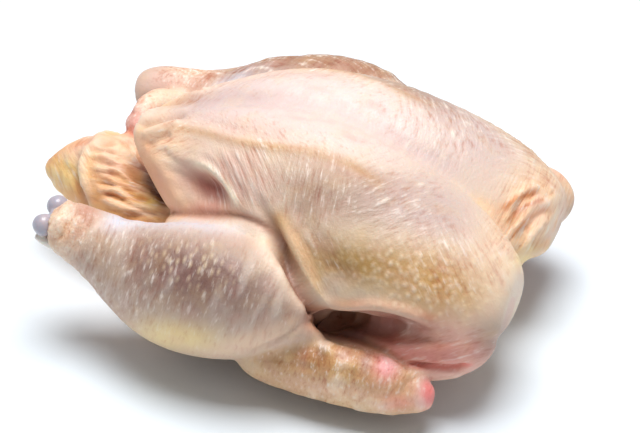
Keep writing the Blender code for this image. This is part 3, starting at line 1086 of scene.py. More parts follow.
NECK_SIDE = (Region.NECK, Region.UPPER_WING)
GRAINS: tuple[Grain, ...] = (
    Grain("strands", (0.42, 1.0), 0.8, 0.075, (
        area((226, 180), (34, 44), 60, TRUNK),
        area((262, 175), (30, 44), 0, TRUNK, strength=0.7),
    )),
    Grain("breast_side", (-0.22, 1.0), 0.75, 0.11, (area((312, 190), (44, 42), 0, TRUNK),)),
    Grain("front", (0.5, 1.0), 0.55, 0.10, (
        area((462, 262), (50, 66), 70, TRUNK, strength=0.9),
        area((316, 262), (44, 44), 60, TRUNK, strength=0.7),
    )),
    Grain("ticks", (0.75, 1.0), 0.9, 0.30, (
        area((290, 140), (120, 20), 8, TRUNK, strength=0.6),
        area((210, 112), (90, 16), 0, TRUNK, strength=0.35),
    )),
    Grain("upper", (-1.0, 0.36), 0.6, 0.16, (
        area((395, 200), (62, 44), 20, TRUNK, strength=0.9),
        area((350, 115), (170, 30), 12, TRUNK, Side.RIGHT, 0.35),
        area((170, 140), (30, 26), 0, TRUNK, strength=0.9),
    )),
    Grain("leg", (-0.34, 1.0), 0.62, 0.16, (
        area((190, 285), (150, 74), 15, LEG, strength=0.72),
        area((118, 268), (60, 46), 40, LEG, strength=0.5),
    )),
    Grain("cuff", (-0.5, 1.0), 0.8, 0.5, (area((64, 226), (30, 34), 20, LEG),)),
    Grain("tail", (1.0, 0.30), 0.75, 0.13, (area((142, 186), (50, 46), 30, TAIL_AND_CORE),)),
    Grain("tail_end", (0.42, 1.0), 0.7, 0.11, (area((70, 168), (26, 36), 0, TAIL),)),
    Grain("wing", (-0.25, 1.0), 0.7, 0.30, (area((340, 368), (112, 48), 12, WING),)),
    Grain("shoulder", (1.0, -0.28), 0.5, 0.10, (area((440, 350), (70, 30), 0),)),
    Grain("neck", (-0.75,
                   1.0), 0.75, 0.08, (area((532, 214), (44, 56), 20, (*NECK_SIDE, Region.BREAST),
                                           Side.SEEN),)),
    Grain("far_leg", (1.0, -0.12), 0.7, 0.07, (area((290, 68), (170, 34), 4, LEG, Side.RIGHT),)),
    Grain("flesh", (0.3, 1.0), 0.7, 0.5, (area((140, 120), (40, 50), 0, VENT, Side.SEEN),)),
    Grain("leg_dots", (-0.36, 1.0), 0.34, 0.16, (area((188, 264), (54, 24), 12, LEG, strength=0.8),), True),
    Grain("goose_dots", (0.3, 1.0), 0.27, 0.22, (area((425, 280), (72, 40), 12, TRUNK, strength=0.85),),
          True),
    Grain("breast_dots", (0.6, 1.0), 0.40, 0.26, (
        area((345, 262), (50, 34), 12, TRUNK, strength=0.3),
        area((400, 150), (140, 60), 25, TRUNK, strength=0.18),
    ), True),
)


@dataclass(frozen=True)
class Stroke:
    """A colour laid along a line of the frame."""

    fold: Fold
    tint: tuple[float, float, float]
    strength: float


def stroke(line: tuple[tuple[float, float], ...], width: float, tint: tuple[float, float, float],
           strength: float, regions: tuple[Region, ...] = TRUNK, side: Side = Side.BOTH,
           taper: tuple[float, float] = TAPER) -> Stroke:
    """A stroke from its line, its half width in millimetres, its colour, its regions and its ends."""
    return Stroke(Fold(line, width, 1.0, regions, side, taper=taper), tint, strength)


@dataclass(frozen=True)
class RecessShade:
    """Painted shade deep in a gap: strength * exp(-(distance/radius)^2).

    The distance is from a straight line, and the right side is read as the left one's mirror image.

    Attributes:
        start: One end of the line, in metres, on the left side.
        end: Its other end.
        radius: Metres.
        tint: Linear colour of the shade.
        strength: Its cover at the line, from 0 to 1.
    """

    start: tuple[float, float, float]
    end: tuple[float, float, float]
    radius: float
    tint: tuple[float, float, float]
    strength: float

    def cover(self, surface: Surface) -> np.ndarray:
        """How much it covers each point of either side, from 0 to 1."""
        x, y, z = surface.points.T
        offset = np.column_stack((x, -np.abs(y), z)) - np.array(self.start)
        way = np.array(self.end) - np.array(self.start)
        share = np.clip(offset @ way / (way @ way), 0, 1)
        distance = np.linalg.norm(offset - share[:, None] * way, axis=1)
        return self.strength * np.exp(-((distance / self.radius) ** 2))


# Painted shade, dark red-brown, deep in the pocket between the leg, the breast and the wing
GAP_SHADES: tuple[RecessShade, ...] = (
    RecessShade((0.008, -0.060, 0.037), (0.036, -0.054, 0.028), 0.0078, tone(88, 44, 40), 0.95),
)

BASE_TINTS: dict[Region, tuple[float, float, float]] = {
    Region.CORE: tone(232, 196, 166),
    Region.BREAST: tone(244, 221, 198),
    Region.THIGH: tone(228, 188, 150),
    Region.LEG: tone(216, 188, 168),
    Region.UPPER_WING: tone(238, 200, 180),
    Region.WING: tone(222, 184, 142),
    Region.TAIL: tone(238, 172, 108),
    Region.NECK: tone(248, 198, 142),
    Region.VENT: tone(240, 176, 146),
}

# Painted shade laid in the creases of the folds and painted highlight on their crests
CREASE_SHADE_TINT = tone(170, 112, 84)
CREST_HIGHLIGHT_TINT = tone(252, 232, 208)
DEEP_CAVITY_TINT = tone(120, 52, 36)

# One colour for each kind of skin, fat and flesh, and some for painted shade and painted highlight, in round
# display values
IVORY = tone(255, 240, 215)
CREAM = tone(245, 220, 195)
WARM_CREAM = tone(255, 215, 180)
PEARL = tone(230, 210, 205)
LILAC = tone(195, 170, 170)
BLUE_WHITE_HIGHLIGHT = tone(220, 225, 240)
SKIN_BEIGE = tone(220, 185, 170)
YELLOW_FAT = tone(255, 225, 155)
LEMON_FAT = tone(255, 235, 120)
GOLD_FAT = tone(195, 145, 80)
OLIVE_FAT = tone(170, 130, 65)
APRICOT = tone(255, 205, 160)
PEACH = tone(245, 180, 140)
ORANGE = tone(230, 145, 80)
RUST = tone(185, 105, 50)
ROSE = tone(220, 155, 135)
DULL_ROSE = tone(195, 140, 120)
COOL_PINK = tone(255, 170, 180)
RED_PINK = tone(250, 125, 115)
FLESH = tone(220, 130, 120)
RAW_FLESH = tone(180, 105, 90)
DARK_FLESH_AND_SHADE = tone(130, 65, 60)
MAUVE = tone(115, 80, 75)
TAN = tone(175, 130, 100)
BROWN = tone(140, 105, 85)
GREY_SHADE = tone(140, 115, 100)
CREASE_SHADE_UMBER = tone(120, 65, 35)
DARK_GAP_SHADE = tone(75, 35, 25)
RED_BROWN_GAP_SHADE = tone(115, 30, 10)

PAINT: tuple[Patch | Stroke, ...] = (
    # Breast
    Patch((240, 112), (110, 24), 2, PEARL, 0.9, TRUNK),
    stroke(((145, 117), (166, 112), (208, 98), (264, 97), (338, 108), (385, 129), (443, 163), (480, 185)),
           5.0, LILAC, 0.75, BODY, Side.SEEN),
    # The brown of the breast's side, with painted shade
    Patch((345, 195), (95, 34), 14, BROWN, 0.8, TRUNK),
    Patch((430, 205), (60, 36), 30, LILAC, 0.7, TRUNK),
    Patch((490, 280), (26, 60), 8, CREAM, 0.8, TRUNK),
    Patch((358, 264), (84, 29), 8, OLIVE_FAT, 0.95, TRUNK),
    Patch((436, 286), (52, 36), 20, GOLD_FAT, 0.9, TRUNK),
    stroke(((152, 126), (194, 131), (238, 142), (285, 149), (311, 153), (350, 166), (392, 188)), 2.0,
           GOLD_FAT, 0.8),
    Patch((250, 128), (100, 13), 6, SKIN_BEIGE, 0.6, TRUNK),
    Patch((350, 138), (84, 20), 16, PEARL, 0.7, TRUNK),
    Patch((330, 168), (60, 12), 18, TAN, 0.5, TRUNK),
    Patch((160, 138), (30, 20), 20, APRICOT, 0.6, TRUNK),
    # Flank
    Patch((232, 180), (42, 34), 40, SKIN_BEIGE, 0.9, TRUNK),
    Patch((201, 187), (29, 15), 30, RAW_FLESH, 0.95, TRUNK),
    Patch((206, 210), (30, 8), 4, ROSE, 0.8, TRUNK),
    stroke(((186, 163), (205, 167), (220, 180), (231, 195), (239, 211)), 1.7, IVORY, 0.85),
    stroke(((137, 122), (147, 150), (161, 182), (178, 208)), 3.4, APRICOT, 0.85),
    Patch((156, 176), (40, 12), 60, PEACH, 0.85, TRUNK),
    # Thigh fold and the crease beside the leg
    stroke(((269, 206), (281, 224), (296, 253), (311, 283), (329, 303)), 4.4, GOLD_FAT, 0.9,
           TRUNK_AND_LEG),
    stroke(((316, 292), (331, 304), (363, 305), (390, 307), (420, 317), (447, 323)), 2.8, RUST,
           0.9),
    # Painted shade in the gap under the lower edge of the breast
    stroke(((320, 311), (336, 316), (363, 314), (392, 316), (420, 324)), 1.5, DARK_GAP_SHADE, 0.85),
    # Pocket and shoulder
    Patch((435, 347), (66, 24), 2, FLESH, 0.9),
    Patch((380, 334), (56, 13), 14, FLESH, 0.85),
    Patch((352, 328), (50, 12), 7, DULL_ROSE, 0.95),
    # Dark flesh with painted shade in the pocket under the breast
    Patch((404, 326), (34, 8), 12, DARK_FLESH_AND_SHADE, 0.85),
    stroke(((300, 329), (335, 332), (364, 343), (395, 360), (412, 372)), 1.3, PEACH, 0.6,
           ANYWHERE),
    # Painted shade in the crease along the top of the leg
    stroke(((150, 214), (180, 213), (210, 215), (240, 216), (262, 226), (280, 250)), 1.2,
           DULL_ROSE, 0.6, ANYWHERE),
    stroke(((403, 363), (430, 367), (456, 368), (476, 363)), 1.0, RED_PINK, 0.9, ANYWHERE),
    # Painted shade low on the front of the shoulder, next to the table
    Patch((500, 340), (26, 26), 0, GREY_SHADE, 0.6),
    # Near leg
    Patch((198, 276), (98, 38), 13, MAUVE, 0.92, LEG),
    # Painted highlight, blue-white, along the lit top edge of the leg
    stroke(((92, 226), (130, 218), (173, 217), (205, 221), (245, 223), (262, 234)), 4.6,
           BLUE_WHITE_HIGHLIGHT, 0.85, LEG),
    Patch((176, 336), (44, 15), 8, YELLOW_FAT, 0.8, LEG),
    stroke(((256, 230), (276, 260), (292, 290), (312, 314)), 4.6, CREAM, 0.8, LEG),
    Patch((255, 340), (48, 12), -16, WARM_CREAM, 0.6, LEG),
    Patch((62, 226), (26, 30), 20, WARM_CREAM, 0.9, LEG),
    Patch((86, 212), (14, 12), 30, DULL_ROSE, 0.8, LEG),
    # Tail
    Patch((66, 172), (20, 26), 60, YELLOW_FAT, 0.8, TAIL),
    Patch((92, 142), (30, 10), -12, ROSE, 0.7, TAIL),
    Patch((112, 160), (22, 20), 0, CREAM, 0.6, TAIL),
    Patch((160, 205), (26, 14), 30, LEMON_FAT, 0.6, TAIL),
    # Painted shade, dark red-brown, in the gap between the tail and the breast
    stroke(((127, 134), (141, 161), (156, 188), (171, 214)), 2.6, RED_BROWN_GAP_SHADE, 0.9, TAIL_AND_CORE),
    # Wing
    Patch((320, 358), (70, 22), 12, GOLD_FAT, 0.7, WING),
    Patch((386, 366), (14, 18), 20, COOL_PINK, 0.75, WING),
    Patch((396, 402), (22, 8), 0, RED_PINK, 0.6, WING),
    Patch((344, 352), (7, 14), 10, SKIN_BEIGE, 0.6, WING),
    Patch((322, 348), (6, 12), 10, BROWN, 0.6, WING),
    Patch((340, 392), (60, 9), 10, WARM_CREAM, 0.7, WING),
    Patch((304, 352), (5, 12), 10, DULL_ROSE, 0.5, WING),
    Patch((366, 362), (5, 14), 10, LILAC, 0.5, WING),
    Patch((430, 392), (14, 18), 0, COOL_PINK, 0.8, WING),
    Patch((429, 393), (9, 12), 0, RED_PINK, 0.7, WING),
    # Neck skin and far shoulder
    Patch((530, 214), (44, 30), 120, APRICOT, 0.9, NECK_AND_BREAST, Side.SEEN),
    Patch((525, 256), (16, 10), -40, YELLOW_FAT, 0.8, NECK_AND_BREAST, Side.SEEN),
    stroke(((500, 212), (514, 200), (528, 195), (542, 190)), 1.3, ORANGE, 0.9, NECK_AND_BREAST,
           Side.SEEN),
    stroke(((505, 226), (520, 210), (534, 203), (548, 198)), 1.2, RUST, 0.9, NECK_AND_BREAST,
           Side.SEEN),
    stroke(((510, 240), (524, 222), (538, 213), (552, 207)), 1.2, ORANGE, 0.85, NECK_AND_BREAST,
           Side.SEEN),
    Patch((562, 190), (22, 32), 0, WARM_CREAM, 0.8, (Region.UPPER_WING, Region.CORE), Side.SEEN),
    # Painted shade in the crease beside the leg, a painted highlight along the roll behind it, and the dark
    # end of the pocket, over all the rest
    # Painted shade, brown, in the crease beside the leg
    stroke(((252, 188), (262, 208), (271, 226), (281, 247), (290, 265), (298, 281), (307, 296), (322, 316)),
           2.3, CREASE_SHADE_UMBER, 0.92, TRUNK_AND_LEG, taper=(0.6, 0.03)),
    # Painted shade, darkest, deep in the lower part of that crease
    stroke(((272, 226), (281, 246), (290, 264), (299, 281), (307, 296), (322, 316)), 1.5, DARK_GAP_SHADE,
           0.9,
           TRUNK_AND_LEG, taper=(0.3, 0.03)),
    # Painted highlight along the crest of the roll behind the crease
    stroke(((272, 208), (288, 230), (304, 251), (313, 270), (326, 290)), 1.8, APRICOT, 0.5,
           taper=(0.45, 0.3)),
    stroke(((308, 292), (316, 304), (330, 311), (350, 313), (376, 312)), 1.3, RUST, 0.8,
           ANYWHERE),
    # Far side
    Patch((360, 112), (150, 26), 12, PEARL, 0.6, TRUNK, Side.RIGHT),
    Patch((320, 66), (110, 26), 6, TAN, 0.9, (Region.LEG, Region.THIGH), Side.RIGHT),
    Patch((131, 132), (14, 26), 10, FLESH, 0.85, (Region.VENT, Region.CORE), Side.SEEN),
    Patch((160, 82), (36, 20), 0, SKIN_BEIGE, 0.9, LEG, Side.RIGHT),
    Patch((172, 100), (32, 13), 0, IVORY, 0.85, VENT, Side.SEEN),
)


# Finishes


Socket = bpy.types.NodeSocket


@dataclass
class Graph:
    """Nodes of one material or node group, placed as they are made."""

    tree: bpy.types.NodeTree

    def node(self, kind: str, **values: object) -> bpy.types.Node:
        """Adds a node and sets its properties."""
        made = self.tree.nodes.new(kind)
        for name, value in values.items():
            setattr(made, name, value)
        return made

    def link(self, source: Socket, target: Socket) -> None:
        """Joins two sockets."""
        self.tree.links.new(source, target)

    def math(self, operation: str, a: Socket | float, b: Socket | float, clamp: bool = False) -> Socket:
        """A sum on two values."""
        made = self.node("ShaderNodeMath", operation=operation, use_clamp=clamp)
        for socket, value in zip(made.inputs, (a, b)):
            if isinstance(value, float):
                socket.default_value = value
            else:
                self.link(value, socket)
        return made.outputs[0]

    def above(self, value: Socket, floor: float, factor: float) -> Socket:
        """How far a value is above a floor, times a factor, held between 0 and 1."""
        return self.math("MULTIPLY", self.math("SUBTRACT", value, floor), factor, clamp=True)

    def below(self, value: Socket, ceiling: float, factor: float) -> Socket:
        """How far a value is below a ceiling, times a factor, held between 0 and 1."""
        return self.math("MULTIPLY", self.math("SUBTRACT", ceiling, value), factor, clamp=True)

    def attribute(self, name: str, output: str) -> Socket:
        """What the mesh stores under a name."""
        return self.node("ShaderNodeAttribute", attribute_name=name).outputs[output]

    def shader(self, **values: float | tuple[float, ...]) -> bpy.types.Node:
        """A principled shader joined to the output, with the sockets set that the values' names spell."""
        made = self.node("ShaderNodeBsdfPrincipled")
        for name, value in values.items():
            made.inputs[name.replace("_", " ").title()].default_value = value
        leave = self.node("ShaderNodeOutputMaterial")
        self.link(made.outputs[0], leave.inputs["Surface"])
        return made

    def bump(self, height: Socket, strength: float, distance: float, shader: bpy.types.Node) -> None:
        """Roughens a shader's surface by a height."""
        made = self.node("ShaderNodeBump")
        made.inputs["Strength"].default_value = strength
        made.inputs["Distance"].default_value = distance
        self.link(height, made.inputs["Height"])
        self.link(made.outputs[0], shader.inputs["Normal"])

    def mix(self, share: Socket, a: Socket | tuple, b: Socket | tuple, blend: str = "MIX") -> Socket:
        """Two colours mixed."""
        made = self.node("ShaderNodeMix", data_type="RGBA", blend_type=blend)
        self.link(share, made.inputs[0])
        for socket, value in ((made.inputs[6], a), (made.inputs[7], b)):
            if isinstance(value, tuple):
                socket.default_value = (*value, 1.0)
            else:
                self.link(value, socket)
        return made.outputs[2]

    def noise(self, vector: Socket, scale: float, detail: float, roughness: float = 0.5) -> Socket:
        """Noise values."""
        made = self.node("ShaderNodeTexNoise")
        self.link(vector, made.inputs["Vector"])
        made.inputs["Scale"].default_value = scale
        made.inputs["Detail"].default_value = detail
        made.inputs["Roughness"].default_value = roughness
        return made.outputs["Fac"]


def new_material(name: str) -> tuple[bpy.types.Material, Graph]:
    """An empty material and its graph."""
    made = bpy.data.materials.new(name)
    made.use_nodes = True
    made.node_tree.nodes.clear()
    return made, Graph(made.node_tree)


NOISE_MIDDLE = 0.5
NOISE_GAIN = 4.0
DOT_RADIUS = 0.36
DOT_CHANCE = 0.75


def grain_group(dots: bool) -> bpy.types.NodeTree:
    """Fine lines or dots of the skin, once its place is turned and scaled.

    Lines are noise drawn out along Y, from about -1 to 1; dots fall from 1 at the middle of each
    chance cell to 0 at a third of its width. Inputs are the place in the frame in millimetres,
    the turn, the lines or dots to a millimetre each way, and a share from 0 to 1.
    """
    tree = bpy.data.node_groups.new("skin_dots" if dots else "skin_lines", "ShaderNodeTree")
    for name, kind in (("Place", "Vector"), ("Turn", "Vector"), ("Scale", "Vector"), ("Share", "Float")):
        tree.interface.new_socket(name, in_out="INPUT", socket_type=f"NodeSocket{kind}")
    tree.interface.new_socket("Value", in_out="OUTPUT", socket_type="NodeSocketFloat")
    graph = Graph(tree)
    entry, leave = graph.node("NodeGroupInput"), graph.node("NodeGroupOutput")
    turned, scaled = graph.node("ShaderNodeMapping"), graph.node("ShaderNodeMapping")
    graph.link(entry.outputs["Place"], turned.inputs["Vector"])
    graph.link(entry.outputs["Turn"], turned.inputs["Rotation"])
    graph.link(turned.outputs[0], scaled.inputs["Vector"])
    graph.link(entry.outputs["Scale"], scaled.inputs["Scale"])
    if dots:
        cells = graph.node("ShaderNodeTexVoronoi", voronoi_dimensions="2D", feature="F1")
        graph.link(scaled.outputs[0], cells.inputs["Vector"])
        cells.inputs["Scale"].default_value = 1.0
        cells.inputs["Randomness"].default_value = DOT_CHANCE
        gap = graph.math("DIVIDE", cells.outputs["Distance"], DOT_RADIUS)
        value = graph.math("SUBTRACT", 1.0, gap, clamp=True)
    else:
        noise = graph.noise(scaled.outputs[0], 1.0, 2.0, 0.6)
        value = graph.math("MULTIPLY", graph.math("SUBTRACT", noise, NOISE_MIDDLE), NOISE_GAIN)
    graph.link(graph.math("MULTIPLY", value, entry.outputs["Share"]), leave.inputs["Value"])
    return tree


def mottle_group() -> bpy.types.NodeTree:
    """Uneven colour of skin: broad blotches and fine grain, as a value from about -1 to 1."""
    tree = bpy.data.node_groups.new("skin_mottle", "ShaderNodeTree")
    tree.interface.new_socket("Place", in_out="INPUT", socket_type="NodeSocketVector")
    tree.interface.new_socket("Broad", in_out="OUTPUT", socket_type="NodeSocketFloat")
    tree.interface.new_socket("Fine", in_out="OUTPUT", socket_type="NodeSocketFloat")
    graph = Graph(tree)
    entry, leave = graph.node("NodeGroupInput"), graph.node("NodeGroupOutput")
    for name, scale, detail in (("Broad", 0.11, 2.0), ("Fine", 0.9, 3.0)):
        noise = graph.math("SUBTRACT", graph.noise(entry.outputs["Place"], scale, detail), NOISE_MIDDLE)
        graph.link(graph.math("MULTIPLY", noise, NOISE_GAIN), leave.inputs[name])
    return tree


def group_node(graph: Graph, tree: bpy.types.NodeTree) -> bpy.types.Node:
    """A node that uses a node group."""
    made = graph.node("ShaderNodeGroup")
    made.node_tree = tree
    return made


@dataclass(frozen=True)
class SkinFinish:
    """Moist raw skin: its tint is painted on its points and its lines and grain come from noise.

    Attributes:
        roughness: Of the skin itself.
        wet: Weight of the moist film over it.
        wet_roughness: Of that film.
        soft: Weight of the light that goes through it.
        soft_radius: How far red, green and blue go in it, as shares of the depth.
        soft_depth: Metres.
        bump: Strength of the fine relief.
        bump_depth: Metres.
    """

    roughness: float = 0.52
    wet: float = 0.07
    wet_roughness: float = 0.24
    soft: float = 0.15
    soft_radius: tuple[float, float, float] = (1.0, 0.45, 0.3)
    soft_depth: float = 0.004
    bump: float = 0.55
    bump_depth: float = 0.4 * MM

    UNEVEN_ROUGHNESS = 0.07
    STREAK_HEIGHT = 0.6
    MOTTLE_HEIGHT = 0.2
    DOT_HEIGHT = 0.9

    def material(self) -> bpy.types.Material:
        """Makes the material."""
        made, graph = new_material("raw_skin")
        place = graph.attribute("place", "Vector")
        mottle = group_node(graph, mottle_group())
        graph.link(place, mottle.inputs["Place"])
        streak, dot = self.grains(graph, place, dots=False), self.grains(graph, place, dots=True)
        shader = graph.shader(
            coat_weight=self.wet, coat_roughness=self.wet_roughness, subsurface_weight=self.soft,
            subsurface_radius=self.soft_radius, subsurface_scale=self.soft_depth,
        )
        colour = self.colour(graph, streak, dot, mottle.outputs["Broad"])
        graph.link(colour, shader.inputs["Base Color"])
        uneven = graph.math("MULTIPLY", mottle.outputs["Fine"], self.UNEVEN_ROUGHNESS)
        graph.link(graph.math("ADD", uneven, self.roughness, clamp=True), shader.inputs["Roughness"])
        height = graph.math("MULTIPLY", streak, self.STREAK_HEIGHT)
        height = graph.math("ADD", height, graph.math("MULTIPLY", mottle.outputs["Fine"], self.MOTTLE_HEIGHT))
        height = graph.math("ADD", height, graph.math("MULTIPLY", dot, self.DOT_HEIGHT))
        graph.bump(height, self.bump, self.bump_depth, shader)
        return made

    @staticmethod
    def colour(graph: Graph, streak: Socket, dot: Socket, broad: Socket) -> Socket:
        """The painted tint, darkened or paled by the lines, dots and blotches, with painted shade in the
        valleys of the relief and painted highlight on its ridges.

        Each step is how far a value is past a bound, times a factor, and the colour laid on by it.
        """
        tint, relief = graph.attribute("tint", "Color"), graph.attribute("relief", "Fac")
        dark, pale = graph.below(streak, -0.1, 0.75), graph.above(streak, 0.2, 0.8)
        colour = graph.mix(dark, tint, tone(212, 152, 126), "MULTIPLY")
        colour = graph.mix(pale, colour, tone(255, 244, 234))
        colour = graph.mix(graph.above(dot, 0.0, 0.6), colour, tone(246, 224, 190))
        # Painted shade in the valleys of the wrinkles
        colour = graph.mix(graph.below(relief, 0.5, 1.2), colour, tone(206, 150, 124), "MULTIPLY")
        # Painted highlight on the ridges of the wrinkles
        colour = graph.mix(graph.above(relief, 0.60, 0.8), colour, tone(255, 244, 232))
        colour = graph.mix(graph.above(broad, 0.0, 0.16), colour, tone(226, 172, 160))
        return graph.mix(graph.below(broad, 0.0, 0.13), colour, tone(244, 206, 140))

    @staticmethod
    def grains(graph: Graph, place: Socket, dots: bool) -> Socket:
        """The sum of the skin's lines, or of its dots."""
        tree, total = grain_group(dots), None
        for grain in (item for item in GRAINS if item.dots is dots):
            made = group_node(graph, tree)
            graph.link(place, made.inputs["Place"])
            made.inputs["Turn"].default_value = (0.0, 0.0, math.atan2(*grain.way))
            made.inputs["Scale"].default_value = (grain.across, grain.along, grain.along)
            graph.link(graph.attribute(f"grain_{grain.name}", "Fac"), made.inputs["Share"])
            value = made.outputs["Value"]
            total = value if total is None else graph.math("ADD", total, value)
        return total


@dataclass(frozen=True)
class GristleFinish:
    """Smooth wet gristle at a bone's end, with a pale tendon.

    Attributes:
        gristle: Its colour.
        tendon: The tendon's colour.
        blush: Colour of its faint blotches.
        roughness: Of the gristle itself.
        wet: Weight of the moist film over it.
        wet_roughness: Of that film.
        soft: Weight of the light that goes through it.
        soft_depth: Metres.
        bump: Strength of the fine relief.
        bump_depth: Metres.
    """

    gristle: tuple[float, float, float] = tone(178, 172, 184)
    tendon: tuple[float, float, float] = tone(240, 230, 218)
    blush: tuple[float, float, float] = tone(206, 182, 182)
    roughness: float = 0.3
    wet: float = 0.3
    wet_roughness: float = 0.15
    soft: float = 0.1
    soft_depth: float = 0.002
    bump: float = 0.3
    bump_depth: float = 0.2 * MM

    BLOTCH_SCALE = 260.0
    BLOTCH_FLOOR = 0.42
    BLOTCH_GAIN = 2.2
    GRAIN_SCALE = 900.0

    def material(self) -> bpy.types.Material:
        """Makes the material."""
        made, graph = new_material("gristle")
        place = graph.node("ShaderNodeTexCoord").outputs["Object"]
        noise = graph.noise(place, self.BLOTCH_SCALE, 2.0)
        blotch = graph.above(noise, self.BLOTCH_FLOOR, self.BLOTCH_GAIN)
        colour = graph.mix(blotch, self.gristle, self.blush)
        colour = graph.mix(graph.attribute("tendon", "Fac"), colour, self.tendon)
        shader = graph.shader(
            roughness=self.roughness, coat_weight=self.wet, coat_roughness=self.wet_roughness,
            subsurface_weight=self.soft, subsurface_scale=self.soft_depth,
        )
        graph.link(colour, shader.inputs["Base Color"])
        graph.bump(graph.noise(place, self.GRAIN_SCALE, 2.0), self.bump, self.bump_depth, shader)
        return made


def write_attribute(mesh: bpy.types.Mesh, name: str, kind: str, values: np.ndarray) -> None:
    """Stores one value, vector or colour a vertex.

    Args:
        mesh: The mesh.
        name: The attribute's name.
        kind: FLOAT, FLOAT_VECTOR or FLOAT_COLOR.
        values: One row a vertex.
    """
    made = mesh.attributes.new(name, kind, "POINT")
    key = {"FLOAT": "value", "FLOAT_VECTOR": "vector", "FLOAT_COLOR": "color"}[kind]
    if kind == "FLOAT_COLOR":
        values = np.column_stack((values, np.ones(len(values))))
    made.data.foreach_set(key, np.ascontiguousarray(values, dtype=np.float32).ravel())


# The pieces


@dataclass
class ShinBone:
    """The end of a shin bone that shows at the hock: a round shaft and two knobs of gristle.

    Attributes:
        side: LEFT or RIGHT.
        anatomy: Where the legs are.
        tendon: True for a short loose tendon under the lower knob.
    """

    side: Side
    anatomy: Anatomy
    tendon: bool = False

    HOCK = (-0.1087, 0.0555, 0.0542)
    KNEE = (-0.018, 0.063, 0.043)
    SHAFT_RADIUS = 0.0040
    SHAFT_STATIONS = 9
    KNOB_RADIUS = 0.0047
    KNOB_SPREAD = (0.0010, -0.0048, 0.0018)
    KNOB_SWELL = 1.07
    KNOB_HALF_LENGTH = 0.92
    KNOB_ARC = (0.16, 0.84)
    KNOB_STATIONS = 7
    RECESS = 0.0050
    DROP = 0.0035
    TENDON_START = (-0.0038, -0.0008, -0.0056)
    TENDON_RUN = (0.0125, 0.0005, -0.0045)
    TENDON_RADII = (0.0014, 0.0023, 0.0025, 0.0023, 0.0016)
    TENDON_COVER = 1.2
    TENDON_EDGE = 0.5 * MM
    VOXEL = 0.45 * MM

    def ends(self) -> tuple[np.ndarray, np.ndarray]:
        """The hock and the knee."""
        mirror = np.array((1, self.side.value, 1))
        hock, knee = np.array(self.HOCK) * mirror, np.array(self.KNEE) * mirror
        if self.side is Side.RIGHT:
            hock = hock + np.array(self.anatomy.hock_shift)
            knee = knee + np.array(self.anatomy.knee_shift)
            hock = hock - np.array((0.0, 0.0, self.DROP))
            hock = hock + self.RECESS * unit(knee - hock)
        return hock, knee

    def rod(self, start: np.ndarray, end: np.ndarray, radii: tuple[float, ...]) -> Form:
        """A round form between two points, with a radius at each of its even stations."""
        share = np.linspace(0, 1, len(radii))[:, None]
        centres = start + share * (end - start)
        radius = np.array(radii)[:, None]
        return Form(Region.LEG, np.hstack((centres, radius, radius, radius)), across=32)

    def shells(self, extra: float = 0.0) -> list[np.ndarray]:
        """Closed grids of the bone, grown outwards by extra metres.

        A knob's radius runs along it as the sine of an angle, over the arc given in half turns.
        """
        hock, knee = self.ends()
        way = unit(knee - hock)
        shaft = self.SHAFT_RADIUS + extra
        knob = self.KNOB_RADIUS + extra
        spread = np.array(self.KNOB_SPREAD) * (1, self.side.value, 1)
        angles = np.linspace(*self.KNOB_ARC, self.KNOB_STATIONS) * math.pi
        profile = tuple(self.KNOB_SWELL * knob * math.sin(angle) for angle in angles)
        grids = [self.rod(hock, knee, (shaft,) * self.SHAFT_STATIONS).grid()]
        for centre in (hock + spread, hock - spread):
            half = self.KNOB_HALF_LENGTH * knob * way
            grids.append(self.rod(centre - half, centre + half, profile).grid())
        return grids

    def build(self, finish: bpy.types.Material) -> bpy.types.Object:
        """Makes the piece."""
        name = f"{self.side.name.lower()}_shin_end"
        grids = self.shells()
        tendon = None
        if self.tendon:
            hock, _ = self.ends()
            knob = hock - np.array(self.KNOB_SPREAD) * (1, self.side.value, 1)
            start = knob + self.TENDON_START
            tendon = self.rod(start, start + self.TENDON_RUN, self.TENDON_RADII)
            grids.append(tendon.grid())
        piece = mesh_object(name, grids)
        fuse(piece, self.VOXEL)
        points = relax(piece.data, vertex_array(piece.data))
        share = np.zeros(len(points))
        if tendon is not None:
            share = np.clip(self.TENDON_COVER - tendon.locate(points)[0] / self.TENDON_EDGE, 0, 1)
        set_vertices(piece.data, points)
        write_attribute(piece.data, "tendon", "FLOAT", share)
        piece.data.materials.append(finish)
        return piece


